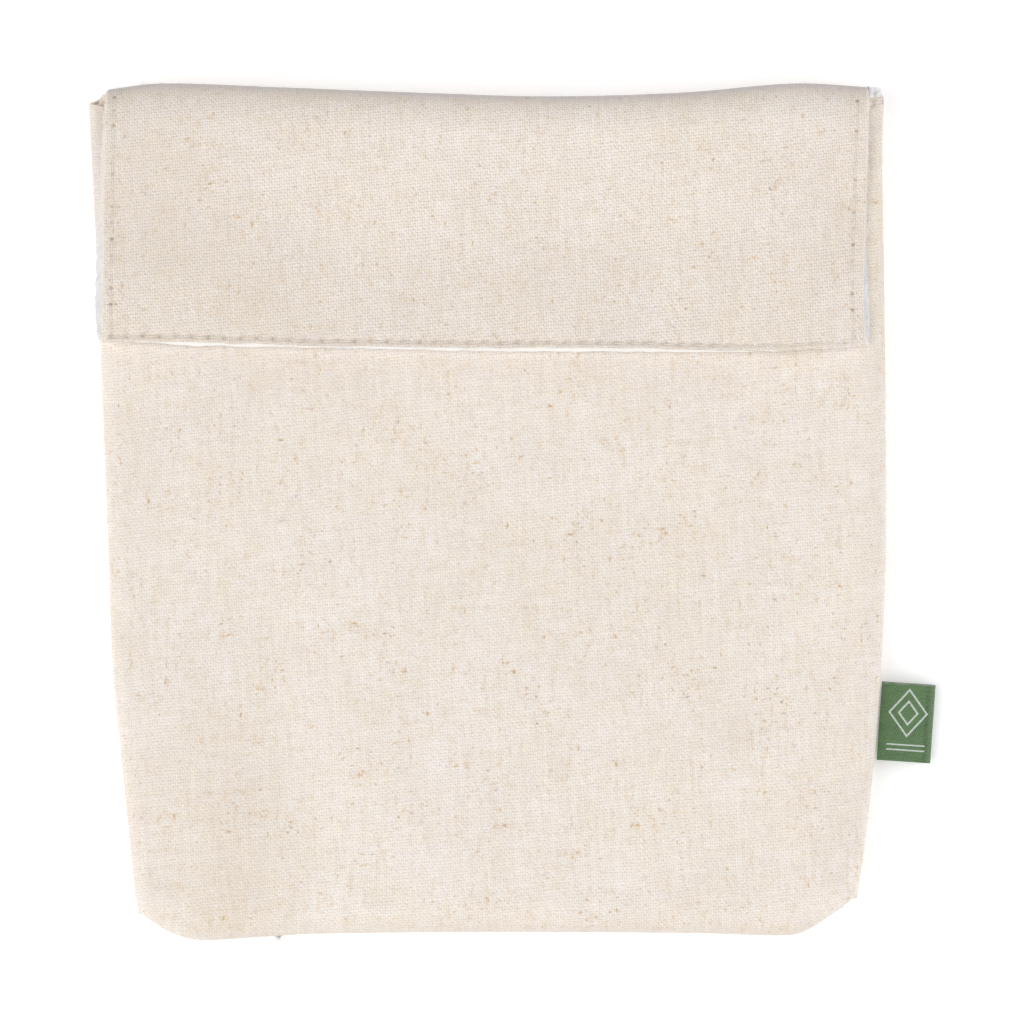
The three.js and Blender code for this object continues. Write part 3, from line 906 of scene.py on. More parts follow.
# painted highlight on the lower edge, which lies in the flap's shade
LINING_EDGE_HIGHLIGHT = (0.97, 0.94, 0.90, 1)  # along the lower edge
# warmer tint of the upper sides
LINING_WARM_SIDES = (0.865, 0.82, 0.75, 1)  # along the upper sides
LINING_PITCH = 0.3
CRINKLE_SIZE = 1.8
CRINKLE_SWING = 0.25  # swing of the crinkles that is in full shade
BACKING_SHADE = 0.15  # of the gaps in the backing
BACKING_HEIGHT = 0.1  # beside the crinkles
CRINKLE_RELIEF = 0.25

lining_white, tree, shader = new_material("white_lining", roughness=0.5)
cloth = mark(tree, "cloth", "Vector")
backing = place_group(tree, weave, cloth=cloth, warp_pitch=LINING_PITCH, weft_pitch=LINING_PITCH)
crinkle = mottling(tree, cloth, CRINKLE_SIZE)
in_shade = fade(tree, crinkle, 0.0, CRINKLE_SWING)
shade = calc(tree, "MULTIPLY_ADD", backing["Warp gap"], BACKING_SHADE, in_shade)
white = mix_colour(tree, shade, LINING_WHITE, LINING_SHADE)
# painted highlight along the lower edge
white = mix_colour(tree, mark(tree, "hem_painted_light_and_shade"), white, LINING_EDGE_HIGHLIGHT)
# warmer tint of the upper sides
white = mix_colour(tree, mark(tree, "rim"), white, LINING_WARM_SIDES)
feed(tree, shader.inputs["Base Color"], white)
crinkle_height = calc(tree, "MULTIPLY_ADD", backing["Height"], BACKING_HEIGHT, crinkle)
add_relief(tree, shader, crinkle_height, CRINKLE_RELIEF, strength=0.5)
print("material:", lining_white.name)

# %% [markdown]
# ## Painted shade and light on the front
#
# The shading of the front's soft folds and edges is painted into the cloth's tone: painted shade in the
# bottom left trough, along the bottom edge and in the flap's shade, and painted light just below the flap,
# which takes out the flap's shadow there. These rows work like the rows of folds, but one table shifts the
# tone and the other the warmth of the colour.

# %% Tone tables of the front
# painted shade (positive depth) and painted light (negative depth) for the folds, the edges and the flap's
# shade
FRONT_PAINTED_SHADE = table(
    "x y turn length width depth",
    (-64, -78, 2, 36, 10, 0.32),
    (-40, -82, 0, 30, 11, -0.1),
    (-62, 30, 60, 30, 14, 0.08),
    (24, 24, 70, 34, 12, 0.05),
    (76, 32, -30, 14, 10, -0.08),
    (-10, 33, 90, 110, 5, 0.14),
    (84.5, 72, 0, 26, 2.5, -0.22),
    (88.5, 66, 0, 36, 3.2, 0.72),
    (-96.5, 82, 0, 24, 3, 0.5),
    (20, -84, 90, 80, 12, -0.08),
    (10, -98, 90, 90, 3, 0.42),
    (-93, 0, 0, 90, 3, -0.02),
    (70, -25, 0, 34, 20, -0.1),
    (-44, -53, 0, 40, 13, -0.09),
    (-13, -4, 0, 6, 6, 0.15),
)
FRONT_WARMTH = table(
    "x y turn length width depth",
    (85.5, 66, 0, 26, 3.5, 0.35),
    (-97, 68, 0, 24, 3, -0.6),
    (-58, -82, 0, 24, 14, 0.15),
)
# painted light just below the flap's lower edge, which takes out the flap's shadow there
PAINTED_LIGHT_BELOW_FLAP = table("x depth", (-96, 0.15), (-84, 0.45), (44, 0.45), (60, 0.05), (83, 0))  # just below the flap
PAINTED_LIGHT_WIDTH = 1.0
print("soft places:", FRONT_PAINTED_SHADE["x"].size, "in tone and", FRONT_WARMTH["x"].size, "in warmth")

# %% [markdown]
# ## Front wall
#
# The front wall is one panel of canvas with foam behind it, sewn to the back round three sides. It stands
# up from the seams in soft rolls, crowns over the empty pocket, and runs under the flap to its mouth. Near
# the seams the thread gathers the cloth, so small puckers fade out over the first centimetre.

# %% Front wall sizes
WALL = 2.4  # canvas with its foam
GAP = 0.3  # between pieces that meet
SEAM_HEIGHT = 4.0
CROWN_HEIGHT = 11.0
MOUTH_HEIGHT = 9.0
SIDE_ROLL = 5.5
BOTTOM_ROLL = 8.0
MOUTH_EASE = 24.0  # mm below the mouth over which the wall comes down to it
FOLD_HEIGHT = 18.0
FOLD_DEPTH = 9.5
PUCKER_HEIGHT = 0.14
PUCKER_REACH = 9.0
PUCKER_SIZE = 8.0
CRUMPLE_HEIGHT = 0.1
CRUMPLE_SIZE = 26.0
CRUMPLE_WAVES = 28
FRONT_GRID = {"roll": 12, "across": 136, "rows": 140}


def fold_start(x):
    return along(FOLD_LINE, "x", "y", x) - FOLD_DEPTH


def fold_rise(x, y):
    """How far the start of the top fold has lifted the cloth near the mouth."""
    share = np.clip((y - fold_start(x)) / FOLD_DEPTH, 0, 1)
    return FOLD_HEIGHT / 2 * (1 - np.sqrt(1 - share * share))


def bottom_y(places):
    left, right = BOTTOM_EDGE["x"][0], BOTTOM_EDGE["x"][-1]
    return along(BOTTOM_EDGE, "x", "y", x_across(places, left, right, SIDE_ROLL, 0))


def puckers(x, y, seed):
    """Small gathers that fade away from the side and bottom seams."""
    left, right = sides_at(SIDE_EDGES, y)
    from_seam = np.minimum(np.minimum(x - left, right - x), y - along(BOTTOM_EDGE, "x", "y", x))
    return crumple(x, y, PUCKER_SIZE, CRUMPLE_WAVES, seed) * bell(from_seam / PUCKER_REACH)


def wall_rows(places, inwards, roll, roll_steps, flat_steps, end):
    """Rows of a wall from its rolled bottom edge up to its end: y of each point, and each row's turn."""
    turns = np.linspace(-TUCK, QUARTER, roll_steps + 1)
    shares = np.linspace(0, 1, flat_steps + 1)[1:]
    start = bottom_y(places)
    rolled = start + inwards + (roll - inwards) * roll_in(turns[:, None], tuck_near(places["turn"]))
    y = np.concatenate([rolled, mix(start + roll, end, shares[:, None])])
    return y, np.concatenate([turns, np.full(shares.size, QUARTER)])[:, None]


print("the wall crowns", CROWN_HEIGHT - SEAM_HEIGHT, "mm above its seams")

# %% Front wall
def front_face(places, inwards):
    mouth = along(MOUTH_EDGE, "x", "y", bag_x(places, MOUTH_EDGE["y"][0], SIDE_ROLL, 0))
    y, turn = wall_rows(places, inwards, BOTTOM_ROLL, FRONT_GRID["roll"], FRONT_GRID["rows"], mouth)
    x = bag_x(places, y, SIDE_ROLL, inwards, tuck_near(turn))
    rim = SEAM_HEIGHT + GAP / 2
    crown = mix(MOUTH_HEIGHT, CROWN_HEIGHT, ease((mouth - y) / MOUTH_EASE)) + fold_height(FRONT_FOLDS, x, y)
    crown += CRUMPLE_HEIGHT * crumple(x, y, CRUMPLE_SIZE, CRUMPLE_WAVES, seed=5)
    crown += PUCKER_HEIGHT * puckers(x, y, seed=11)
    z = fold_rise(x, y) + rim + (crown - inwards - rim) * swell(places["turn"]) * swell(turn)
    return joined(x, y, z)


places = stations(FRONT_GRID["roll"], FRONT_GRID["across"])
front_outer = front_face(places, 0)
front_inner = front_face(places, WALL)
front_x, front_y, _ = np.moveaxis(front_outer, -1, 0)
walk_y = lengths_along(front_outer, 0)
base_row = FRONT_GRID["roll"]
up_cloth = walk_y - walk_y[[base_row]] + front_y[[base_row]]
below_flap = along(FLAP_LOWER_EDGE, "x", "y", front_x) - front_y
below_flap_light = along(PAINTED_LIGHT_BELOW_FLAP, "x", "depth", front_x) * bell(below_flap / PAINTED_LIGHT_WIDTH - 1)
front_marks = {
    "cloth": joined(across_cloth(front_outer), up_cloth, 0),
    # painted shade of the folds and edges, less the painted light below the flap
    "tone_and_painted_shade": fold_height(FRONT_PAINTED_SHADE, front_x, front_y) - below_flap_light,
    "warmth": fold_height(FRONT_WARMTH, front_x, front_y),
}
front_wall = sheet_object("front_wall", front_outer, front_inner, front_marks,
                          [canvas, lining_white], face_materials=(0, 1))
print("front wall:", triangles(front_wall), "triangles")

# %% [markdown]
# ## Back wall, top fold and flap
#
# One length of canvas makes the back of the bag, rolls over the top and comes down as the flap. It is
# narrower as a flap than as a back, so each top corner has a small notch where the width changes. The
# sheet is made in four lengths that share their columns: the flat back, the mouth, the fold and the flap.

# %% Back wall sizes
BACK_ROLL = 5.0
MOUTH_TURN = math.radians(43)  # turn of the fold up to which the cloth is as wide as the bag
NARROW_TURN = math.radians(90)  # turn from which it is as narrow as the flap
NOTCH, NOTCH_PACE = 0.5, 8  # share of the narrowing that comes at once, and how soon it is over
FLAP_LOW_HEIGHT = 15.6
FLAP_FALL = 0.62  # share of the flap's length over which it sinks to that height
FLAP_SIDE_DROOP = 0.4
FLAP_DROOP_WIDTH = 12.0
FLAP_FOLDS_FROM = 0.5  # share of its length at which its folds have their full height
FLAP_CRUMPLE = 0.09
HEM_DEPTH = 5.0  # of the closely spaced rows along the flap's lower edge
HEM_WAVE, HEM_WAVE_SIZE = 0.1, 9.0
BACK_GRID = {"roll": 14, "across": 170, "flat": 60, "mouth": 8, "fold": 34, "flap": 46, "hem_painted_light_and_shade": 14}


def fold_point(x, turn, inwards):
    depth, half = FOLD_DEPTH - inwards, FOLD_HEIGHT / 2 - inwards
    return fold_start(x) + depth * np.sin(turn), inwards + half * (1 - np.cos(turn))


def inner_turn(turn, inwards):
    """Turn at which an inner face is as far along the bag as the outer one is at the given turn."""
    return np.arcsin(np.minimum(FOLD_DEPTH * np.sin(turn) / (FOLD_DEPTH - inwards), 1))


def flap_height(x, y):
    start = fold_start(x)
    share = np.maximum((start - y) / (start - along(FLAP_LOWER_EDGE, "x", "y", x)), 0)
    left, right = sides_at(FLAP_EDGES, y)
    droop = FLAP_SIDE_DROOP * (1 - ease(np.minimum(x - left, right - x) / FLAP_DROOP_WIDTH))
    fall = (FOLD_HEIGHT - FLAP_LOW_HEIGHT) * ease(share / FLAP_FALL)
    soft = FLAP_CRUMPLE * crumple(x, y, CRUMPLE_SIZE, CRUMPLE_WAVES, seed=23)
    folds = ease(share / FLAP_FOLDS_FROM) * (fold_height(FLAP_FOLDS, x, y) - droop + soft)
    return FOLD_HEIGHT - fall + folds


def raised(base, floor_height, risen):
    return mix(floor_height + SEAM_HEIGHT - GAP / 2, base, risen)


def flap_places(places):
    """The flap's edges have no seam, so its points run in from the edge itself."""
    return {**places, "turn": (places["turn"] + TUCK) / (QUARTER + TUCK) * QUARTER}


def flap_x(places, y):
    return x_across(flap_places(places), *sides_at(FLAP_EDGES, y), BACK_ROLL, 0)


print("the flap sinks", round(FOLD_HEIGHT - FLAP_LOW_HEIGHT, 1), "mm from the fold to its lower edge")

# %% Faces of the back wall and the fold
def back_wall_face(places, inwards):
    end = fold_start(bag_x(places, FOLD_LINE["y"][0], BACK_ROLL, inwards))
    y, turn = wall_rows(places, inwards, BACK_ROLL, BACK_GRID["roll"], BACK_GRID["flat"], end)
    x = bag_x(places, y, BACK_ROLL, inwards, tuck_near(turn))
    return joined(x, y, raised(inwards, 0, swell(places["turn"]) * swell(turn)))


def mouth_face(places, inwards):
    turn = np.linspace(0, MOUTH_TURN, BACK_GRID["mouth"] + 1)[1:, None]
    near = bag_x(places, FOLD_LINE["y"][0], BACK_ROLL, inwards)
    y, outside = fold_point(near, turn, 0)
    face = fold_point(near, inner_turn(turn, inwards), inwards)[1]
    x = bag_x(places, y, BACK_ROLL, inwards)
    return joined(x, y, raised(face, outside, swell(places["turn"])))


def fold_face(places, inwards):
    turn = np.linspace(MOUTH_TURN, math.pi, BACK_GRID["fold"] + 1)[1:, None]
    share = (turn - MOUTH_TURN) / (math.pi - MOUTH_TURN)
    narrowing = np.clip((turn - MOUTH_TURN) / (NARROW_TURN - MOUTH_TURN), 0, 1)
    face_turn = mix(inner_turn(MOUTH_TURN, inwards), math.pi, share)
    bag = bag_x(places, FOLD_LINE["y"][0], BACK_ROLL, inwards)
    narrowed = mix(narrowing, np.minimum(NOTCH_PACE * narrowing, 1), NOTCH)
    x = mix(bag, flap_x(places, FOLD_LINE["y"][0]), narrowed)
    y, z = fold_point(x, face_turn, inwards)
    outside = fold_point(x, turn, 0)[1]
    risen = mix(swell(places["turn"]), 1, ease(narrowing))
    return joined(x, y, raised(z, outside, risen))


def flap_face(places, inwards):
    shares = np.linspace(0, 1, BACK_GRID["flap"] + 1)[1:, None]
    insets = HEM_DEPTH * (1 - np.cos(np.linspace(QUARTER, 0, BACK_GRID["hem_painted_light_and_shade"] + 1)[1:, None]))
    near = flap_x(places, FLAP_EDGES["y"][0])
    end = along(FLAP_LOWER_EDGE, "x", "y", near)
    end = end + HEM_WAVE * crumple(near, 0.0, HEM_WAVE_SIZE, CRUMPLE_WAVES, seed=37)
    y = np.concatenate([mix(fold_start(near), end + HEM_DEPTH, shares), end + insets])
    x = flap_x(places, y)
    return joined(x, y, flap_height(x, y) - inwards)


def back_face(places, inwards):
    makers = (back_wall_face, mouth_face, fold_face, flap_face)
    return np.concatenate([make(places, inwards) for make in makers])


places = stations(BACK_GRID["roll"], BACK_GRID["across"])
back_outer = back_face(places, 0)
back_inner = back_face(places, WALL)
print("rows and columns of the back:", back_outer.shape[:2])

# %% [markdown]
# ## Hem of the flap
#
# The flap's edge is turned under and stitched through on three sides. That gives a rounded lip, a shallow
# bead between the lip and the stitches, and a groove that the thread pulls down, with a pucker at every
# stitch. Each point's distance from the three edges says where it lies in that profile.

# %% Distances on the flap
STITCH_INSETS = {"left": 2.1, "right": 2.7, "lower": 1.15}
STITCH_TOP = 60.0  # length of each side row, up from the lower row

rows_before_fold = BACK_GRID["roll"] + 1 + BACK_GRID["flat"] + BACK_GRID["mouth"]
fold_rows = np.arange(len(back_outer)) - rows_before_fold
fold_turn = MOUTH_TURN + np.clip((fold_rows + 1) / BACK_GRID["fold"], 0, 1) * (math.pi - MOUTH_TURN)
on_flap = ease((fold_turn - MOUTH_TURN) / (NARROW_TURN - MOUTH_TURN))[:, None]

walk_y = lengths_along(back_outer, 0)
up_from_edge = walk_y[[-1]] - walk_y
lower_edge = back_outer[[-1], :, 1]
flap_left, flap_right = sides_at(FLAP_EDGES, back_outer[..., 1])
from_left = np.maximum(back_outer[..., 0] - flap_left, 0)
from_right = np.maximum(flap_right - back_outer[..., 0], 0)
from_side = np.minimum(from_left, from_right)
inside_stitches = np.minimum(
    np.minimum(from_left - STITCH_INSETS["left"], from_right - STITCH_INSETS["right"]),
    up_from_edge - STITCH_INSETS["lower"],
)
by_side = from_side < up_from_edge
along_stitches = np.where(by_side, up_from_edge - STITCH_INSETS["lower"], from_left - STITCH_INSETS["left"])
stitched = on_flap * ease(STITCH_TOP - up_from_edge)
print("longest way up the flap in mm:", round(float(up_from_edge[rows_before_fold].max()), 1))

# %% Lip, groove, bead and puckers
LIP_THIN = 0.12  # share of the thickness left at the very edge
LIP_ROUND = 4.0  # a higher power keeps the lip flat for longer
GROOVE_DEPTH = 0.14
GROOVE_WIDTH = 0.6
SIDE_GROOVE = 0.2  # depth of the groove along the sides, beside the lower one
BEAD_HEIGHT = 0.1
STITCH_PUCKER = 0.1
STITCH_PUCKER_REACH = 1.5

from_edge = np.minimum(from_side, up_from_edge)
lip = np.sqrt(1 - (1 - np.clip(from_edge / (WALL / 2), 0, 1)) ** LIP_ROUND)
thickness = mix(1, np.maximum(lip, LIP_THIN), on_flap)[..., None]
centre, half = (back_outer + back_inner) / 2, (back_outer - back_inner) / 2
outwards = half / np.linalg.norm(half, axis=-1, keepdims=True)
groove = -GROOVE_DEPTH * bell(inside_stitches / GROOVE_WIDTH) * np.where(by_side, SIDE_GROOVE, 1)
bead = BEAD_HEIGHT * ease(-inside_stitches / STITCH_INSETS["lower"])
stitch_wave = np.cos(2 * math.pi * along_stitches / STITCH_PITCH)
pucker = -STITCH_PUCKER * stitch_wave * bell(inside_stitches / STITCH_PUCKER_REACH)
hem_relief = (stitched * (groove + bead + pucker))[..., None]
back_outer = centre + half * thickness + outwards * hem_relief
back_inner = centre - half * thickness
print("deepest groove in mm:", round(float(hem_relief.min()), 2))

# %% [markdown]
# ## Tone of the flap, and the finished back
#
# The flap is a shade deeper than the front, and painted shade and painted light on it stand in for the
# shading of its folds: darker at its two ends, paler along its upper middle. The top fold turns away from
# the light, so it is painted darker and greyer towards its edge. The hem's painted shade follows the
# stitches, with a dimple at each, and the sides' needle holes are stronger than those of the lower row.

# %% Tone and painted shade tables of the flap
# deeper tone of the whole flap
FLAP_TONE = 0.11
# painted shade (positive depth) and painted light (negative depth) of the flap's folds
FLAP_PAINTED_SHADE = table(
    "x y turn length width depth",
    (-86, 78, 20, 26, 20, 0.3),
    (-58, 52, -60, 26, 11, 0.22),
    (8, 54, 84, 40, 9, 0.12),
    (78, 62, 0, 24, 10, 0.14),
    (10, 84, 84, 50, 12, -0.14),
    (36, 67, 90, 22, 8, -0.11),
    (-48, 61, 0, 6, 6, 0.15),
)
FOLD_PAINTED_SHADE = table(  # mm below the top edge, painted shade as a shift of tone, and share of painted grey
    "below shade grey",
    (0, 0.4, 0.5),
    (0.6, 0.42, 0.45),
    (1.1, 0.4, 0.2),
    (1.6, 0.33, 0.08),
    (2.2, 0.2, 0),
    (3.2, -0.05, 0),
    (5, -0.15, 0),
    (9, -0.1, 0),
    (14, 0, 0),
)
# painted shade along the stitch groove: on the left and right rows, and along the lower row
HEM_SIDES = {"left": 0.03, "right": 0.0}
HEM_LOWER = table("x shade", (-96, 0.7), (45, 0.75), (60, 0.45), (83, 0.1))
HEM_DIMPLE = 0.7
HEM_REACH = {"out": 1.1, "in": 0.75}  # how far the shade beside the stitches goes
SIDE_HOLES = 1.8  # strength of the needle holes along the sides, beside the lower ones
print("soft places on the flap:", FLAP_PAINTED_SHADE["x"].size)

# %% Back wall, fold and flap
back_x, back_y, _ = np.moveaxis(back_outer, -1, 0)
hem_shade = np.where(from_left < from_right, HEM_SIDES["left"], HEM_SIDES["right"])
hem_shade = np.where(by_side, hem_shade, along(HEM_LOWER, "x", "shade", back_x))
hem_reach = np.where(inside_stitches < 0, HEM_REACH["out"], HEM_REACH["in"] * (1 + HEM_DIMPLE * stitch_wave))
below_fold = fold_start(back_x) + FOLD_DEPTH - back_y
flap_painted_shade = FLAP_TONE + fold_height(FLAP_PAINTED_SHADE, back_x, back_y)
back_marks = {
    "cloth": joined(across_cloth(back_outer), up_from_edge + lower_edge, 0),
    # painted shade along the hem's stitch groove, with a dimple at each stitch
    "hem_painted_light_and_shade": stitched * hem_shade * (1 - ease(np.abs(inside_stitches) / hem_reach)),
    "stitch_line": joined(along_stitches, inside_stitches, stitched * np.where(by_side, SIDE_HOLES, 1)),
    "openness": on_flap * np.ones_like(up_from_edge),
    # painted shade of the flap's folds and of the top fold's edge
    "tone_and_painted_shade": on_flap * (flap_painted_shade + along(FOLD_PAINTED_SHADE, "below", "shade", below_fold)),
    # painted grey shade towards the top fold's edge
    "rim": on_flap * along(FOLD_PAINTED_SHADE, "below", "grey", below_fold),
}
back_wall = sheet_object("back_wall_and_flap", back_inner, back_outer, back_marks,
                         [canvas, lining_white], face_materials=(1, 0))
print("back wall and flap:", triangles(back_wall), "triangles")

# %% [markdown]
# ## Flap lining
#
# Under the flap lies its white lining. It was cut a touch too wide, so a line of it shows along the lower
# edge and a wavy strip down both sides, scalloped where each stitch nips it.

# %% Flap lining sizes
LINING = 1.0
LINING_END_TURN = math.radians(115)  # where it ends inside the fold
LINING_SIDES = table(
    "y left right",
    (38, 0.9, 0.6),
    (45, 1.6, 1.4),
    (54, 1.6, 1.1),
    (62, 1.65, 0.55),
    (72, 1.2, 0.5),
    (88, 0.7, 0.45),
    (96, 0.4, 0.4),
)
LINING_LOWER = table(
    "x reach",
    (-96, -0.3),
    (-88, -0.05),
    (-83, 0.3),
    (-77, 0.7),
    (-66, 0.7),
    (-50, 0.5),
    (-26, 0.5),
    (-5, 0.75),
    (16, 0.75),
    (35, 0.6),
    (50, 0.35),
    (64, 0.1),
    (83, -0.4),
)
SCALLOP = 0.22  # nip at each stitch
FRAY = 0.16  # unevenness of the cut edge
FRAY_SIZE = 1.7
LINING_RIPPLE = 0.12
LINING_WAVE, LINING_WAVE_SIZE = 0.06, 6.0
HIGHLIGHT_FROM, HIGHLIGHT_PACE = 0.95, 2  # share of the way down where the painted highlight starts, and how soon it is full
WARM_FROM, WARM_RISE = 54.0, 24.0  # mm up the bag where the warmer tint of the sides starts, and over which it rises
LINING_GRID = {"roll": 8, "across": 120, "fold": 14, "flap": 90}
print("widest strip of lining in mm:", LINING_SIDES["left"].max())

# %% Flap lining
def lining_x(places, y):
    scallop = SCALLOP * np.abs(np.sin(math.pi * y / STITCH_PITCH))
    fray = FRAY * crumple(y, 0.0, FRAY_SIZE, CRUMPLE_WAVES, seed=29)
    left_edge, right_edge = sides_at(FLAP_EDGES, y)
    left_strip, right_strip = sides_at(LINING_SIDES, y)
    left = left_edge - left_strip + scallop + fray
    return x_across(flap_places(places), left, right_edge + right_strip - scallop, BACK_ROLL, 0)


def lining_face(places, inwards):
    turn = np.linspace(LINING_END_TURN, math.pi, LINING_GRID["fold"] + 1)[:, None]
    near = flap_x(places, FOLD_LINE["y"][0])
    fold_x = lining_x(places, fold_point(near, turn, inwards)[0])
    fold_y, fold_z = fold_point(fold_x, turn, inwards)
    near = flap_x(places, FLAP_EDGES["y"][0])
    end = along(FLAP_LOWER_EDGE, "x", "y", near) - along(LINING_LOWER, "x", "reach", near)
    end = end + LINING_WAVE * crumple(near, 0.0, LINING_WAVE_SIZE, CRUMPLE_WAVES, seed=41)
    shares = np.linspace(0, 1, LINING_GRID["flap"] + 1)[1:, None]
    y = mix(fold_start(near), end, shares)
    x = lining_x(places, y)
    ripple = LINING_RIPPLE * crumple(x, y, PUCKER_SIZE, CRUMPLE_WAVES, seed=31) * shares
    flap = joined(x, y, flap_height(x, y) - inwards - np.abs(ripple))
    return np.concatenate([joined(fold_x, fold_y, fold_z), flap])


places = stations(LINING_GRID["roll"], LINING_GRID["across"])
lining_upper = lining_face(places, WALL + GAP)
lining_lower = lining_face(places, WALL + GAP + LINING)
down = np.linspace(0, 1, LINING_GRID["flap"] + 1)[1:]
down = np.concatenate([np.zeros(LINING_GRID["fold"] + 1), down])[:, None]
warm_sides = ease((lining_upper[..., 1] - WARM_FROM) / WARM_RISE)
lining_marks = {
    "cloth": joined(lengths_along(lining_upper, 1), lengths_along(lining_upper, 0), 0),
    # painted highlight along the lower edge
    "hem_painted_light_and_shade": ease((down - HIGHLIGHT_FROM) / (1 - HIGHLIGHT_FROM) * HIGHLIGHT_PACE) * np.ones_like(warm_sides),
    "rim": warm_sides,
}
flap_lining = sheet_object("flap_lining_sheet", lining_lower, lining_upper, lining_marks, [lining_white])
print("flap lining:", triangles(flap_lining), "triangles")

# %% [markdown]
# ## Side label
#
# A green woven ribbon is folded in half and caught in the right side seam. It droops a little from the
# seam to its folded end. Its face carries a plain white lozenge and two lines, woven with the ribbon: the
# sum of the shares across and along is constant on a lozenge, so one formula draws both rings.

# %% Label ground
LABEL_GREEN = (0.106, 0.203, 0.076, 1)
LABEL_DARK = (0.035, 0.074, 0.03, 1)
LABEL_EDGE_HIGHLIGHT = (0.25, 0.27, 0.25, 1)
LABEL_REACH = 12.6
LABEL_HEIGHT = 18.4
SATIN = {"warp_pitch": 0.5, "weft_pitch": 0.5, "warp_lean": math.radians(30), "weft_lean": math.radians(30),
         "wobble": 0.3, "gap": 0.3}
LABEL_PATCH = 3.0
PATCH_SWING = (-0.1, 0.3)  # swing of the mottling that runs from green to full shade
SEAM_SHADE = 4.0  # mm over which the ribbon darkens into the seam
RIB = {"place": 11.0, "half_width": 0.9}
LABEL_SHADES = {"patch": 0.35, "seam": 0.1, "rib": 0.35, "gap": 0.5, "grain": 0.7}
EDGE_FROM, EDGE_TO = 0.6, 0.1  # mm inside the upper edge where its painted highlight starts, and is full
EDGE_UNEVEN, EDGE_SHARE = 1.6, 0.8

label_green, tree, shader = new_material("green_satin", roughness=0.55)
cloth = mark(tree, "cloth", "Vector")
satin = place_group(tree, weave, cloth=cloth, **SATIN)
out, up, _ = split(tree, cloth)


def distance_to(value, at):
    return calc(tree, "ABSOLUTE", calc(tree, "SUBTRACT", value, at))


patch = mottling(tree, cloth, LABEL_PATCH)
shades = {
    "patch": fade(tree, patch, *PATCH_SWING),
    "seam": fade(tree, out, SEAM_SHADE, 0.0),
    "rib": fade(tree, distance_to(out, RIB["place"]), RIB["half_width"], 0.0),
    "gap": satin["Warp gap"],
}
dark_shares = [calc(tree, "MULTIPLY", shade, LABEL_SHADES[kind]) for kind, shade in shades.items()]
dark_share = total(tree, *dark_shares, centred(tree, satin["Grain"], LABEL_SHADES["grain"]))
green = mix_colour(tree, dark_share, LABEL_GREEN, LABEL_DARK)
# painted highlight along the ribbon's lit upper edge, uneven along its length
uneven_up = calc(tree, "MULTIPLY_ADD", patch, EDGE_UNEVEN, up)
edge = fade(tree, uneven_up, LABEL_HEIGHT / 2 - EDGE_FROM, LABEL_HEIGHT / 2 - EDGE_TO)
green = mix_colour(tree, calc(tree, "MULTIPLY", edge, EDGE_SHARE), green, LABEL_EDGE_HIGHLIGHT)
print("shades of the label:", len(LABEL_SHADES))

# %% Label motif
LABEL_WHITE = (0.66, 0.70, 0.66, 1)
LOZENGE = {"across": 6.6, "along": 2.2, "half_width": 4.4, "half_height": 5.4, "line": 0.06}
LOZENGE_RINGS = (1.0, 0.5)
LABEL_LINES = {"places": (-5.3, -6.5), "half_width": 0.17, "from": 2.0, "to": 11.0}
LINE_BLUR = (1.4, 0.6)  # where a line begins and is full, beside its half width
MOTIF_BREAKS = 0.45  # how much green shows between the white stitches
SATIN_RELIEF = 0.08
LABEL_SHEEN = 0.1

wide = calc(tree, "DIVIDE", distance_to(out, LOZENGE["across"]), LOZENGE["half_width"])
tall = calc(tree, "DIVIDE", distance_to(up, LOZENGE["along"]), LOZENGE["half_height"])
ring = calc(tree, "ADD", wide, tall)
between = calc(tree, "MULTIPLY", calc(tree, "GREATER_THAN", out, LABEL_LINES["from"]),
               calc(tree, "LESS_THAN", out, LABEL_LINES["to"]))


def drawn_line(value, at, half_width):
    return fade(tree, distance_to(value, at), *[half_width * blur for blur in LINE_BLUR])


motif = calc(tree, "MAXIMUM", *[drawn_line(ring, size, LOZENGE["line"]) for size in LOZENGE_RINGS])
for place in LABEL_LINES["places"]:
    woven_line = calc(tree, "MULTIPLY", drawn_line(up, place, LABEL_LINES["half_width"]), between)
    motif = calc(tree, "MAXIMUM", motif, woven_line)
broken = calc(tree, "SUBTRACT", 1.0, calc(tree, "MULTIPLY", satin["Grain"], MOTIF_BREAKS))
green = mix_colour(tree, calc(tree, "MULTIPLY", motif, broken), green, LABEL_WHITE)
feed(tree, shader.inputs["Base Color"], green)
add_relief(tree, shader, calc(tree, "ADD", satin["Height"], motif), SATIN_RELIEF, strength=0.5)
shader.inputs["Sheen Weight"].default_value = LABEL_SHEEN
print("material:", label_green.name)

# %% Label
LABEL_LAYER = 1.0
LABEL_SPACE = 0.5
LABEL_Y = -48.7
LABEL_TURN = math.radians(-4)
LABEL_DROOP = 2.0
LABEL_DROOP_POWER = 1.4
LABEL_SEAT = 0.45  # from the seam's widest line
LABEL_GRID = {"layer": 26, "end": 10, "height": 40}
LABEL_WAVE = 0.12


def ribbon_section(radius):
    """One face of the folded ribbon, from the lower cut end round the fold to the upper cut end."""
    straight = LABEL_REACH - LABEL_LAYER - LABEL_SPACE / 2
    out = np.linspace(0, straight, LABEL_GRID["layer"] + 1)
    turn = np.linspace(-QUARTER, QUARTER, LABEL_GRID["end"] + 1)[1:-1]
    away = np.concatenate([out, straight + radius * np.cos(turn), out[::-1]])
    rise = np.concatenate([np.full(out.size, -radius), radius * np.sin(turn), np.full(out.size, radius)])
    return away, rise - LABEL_DROOP * (away / LABEL_REACH) ** LABEL_DROOP_POWER


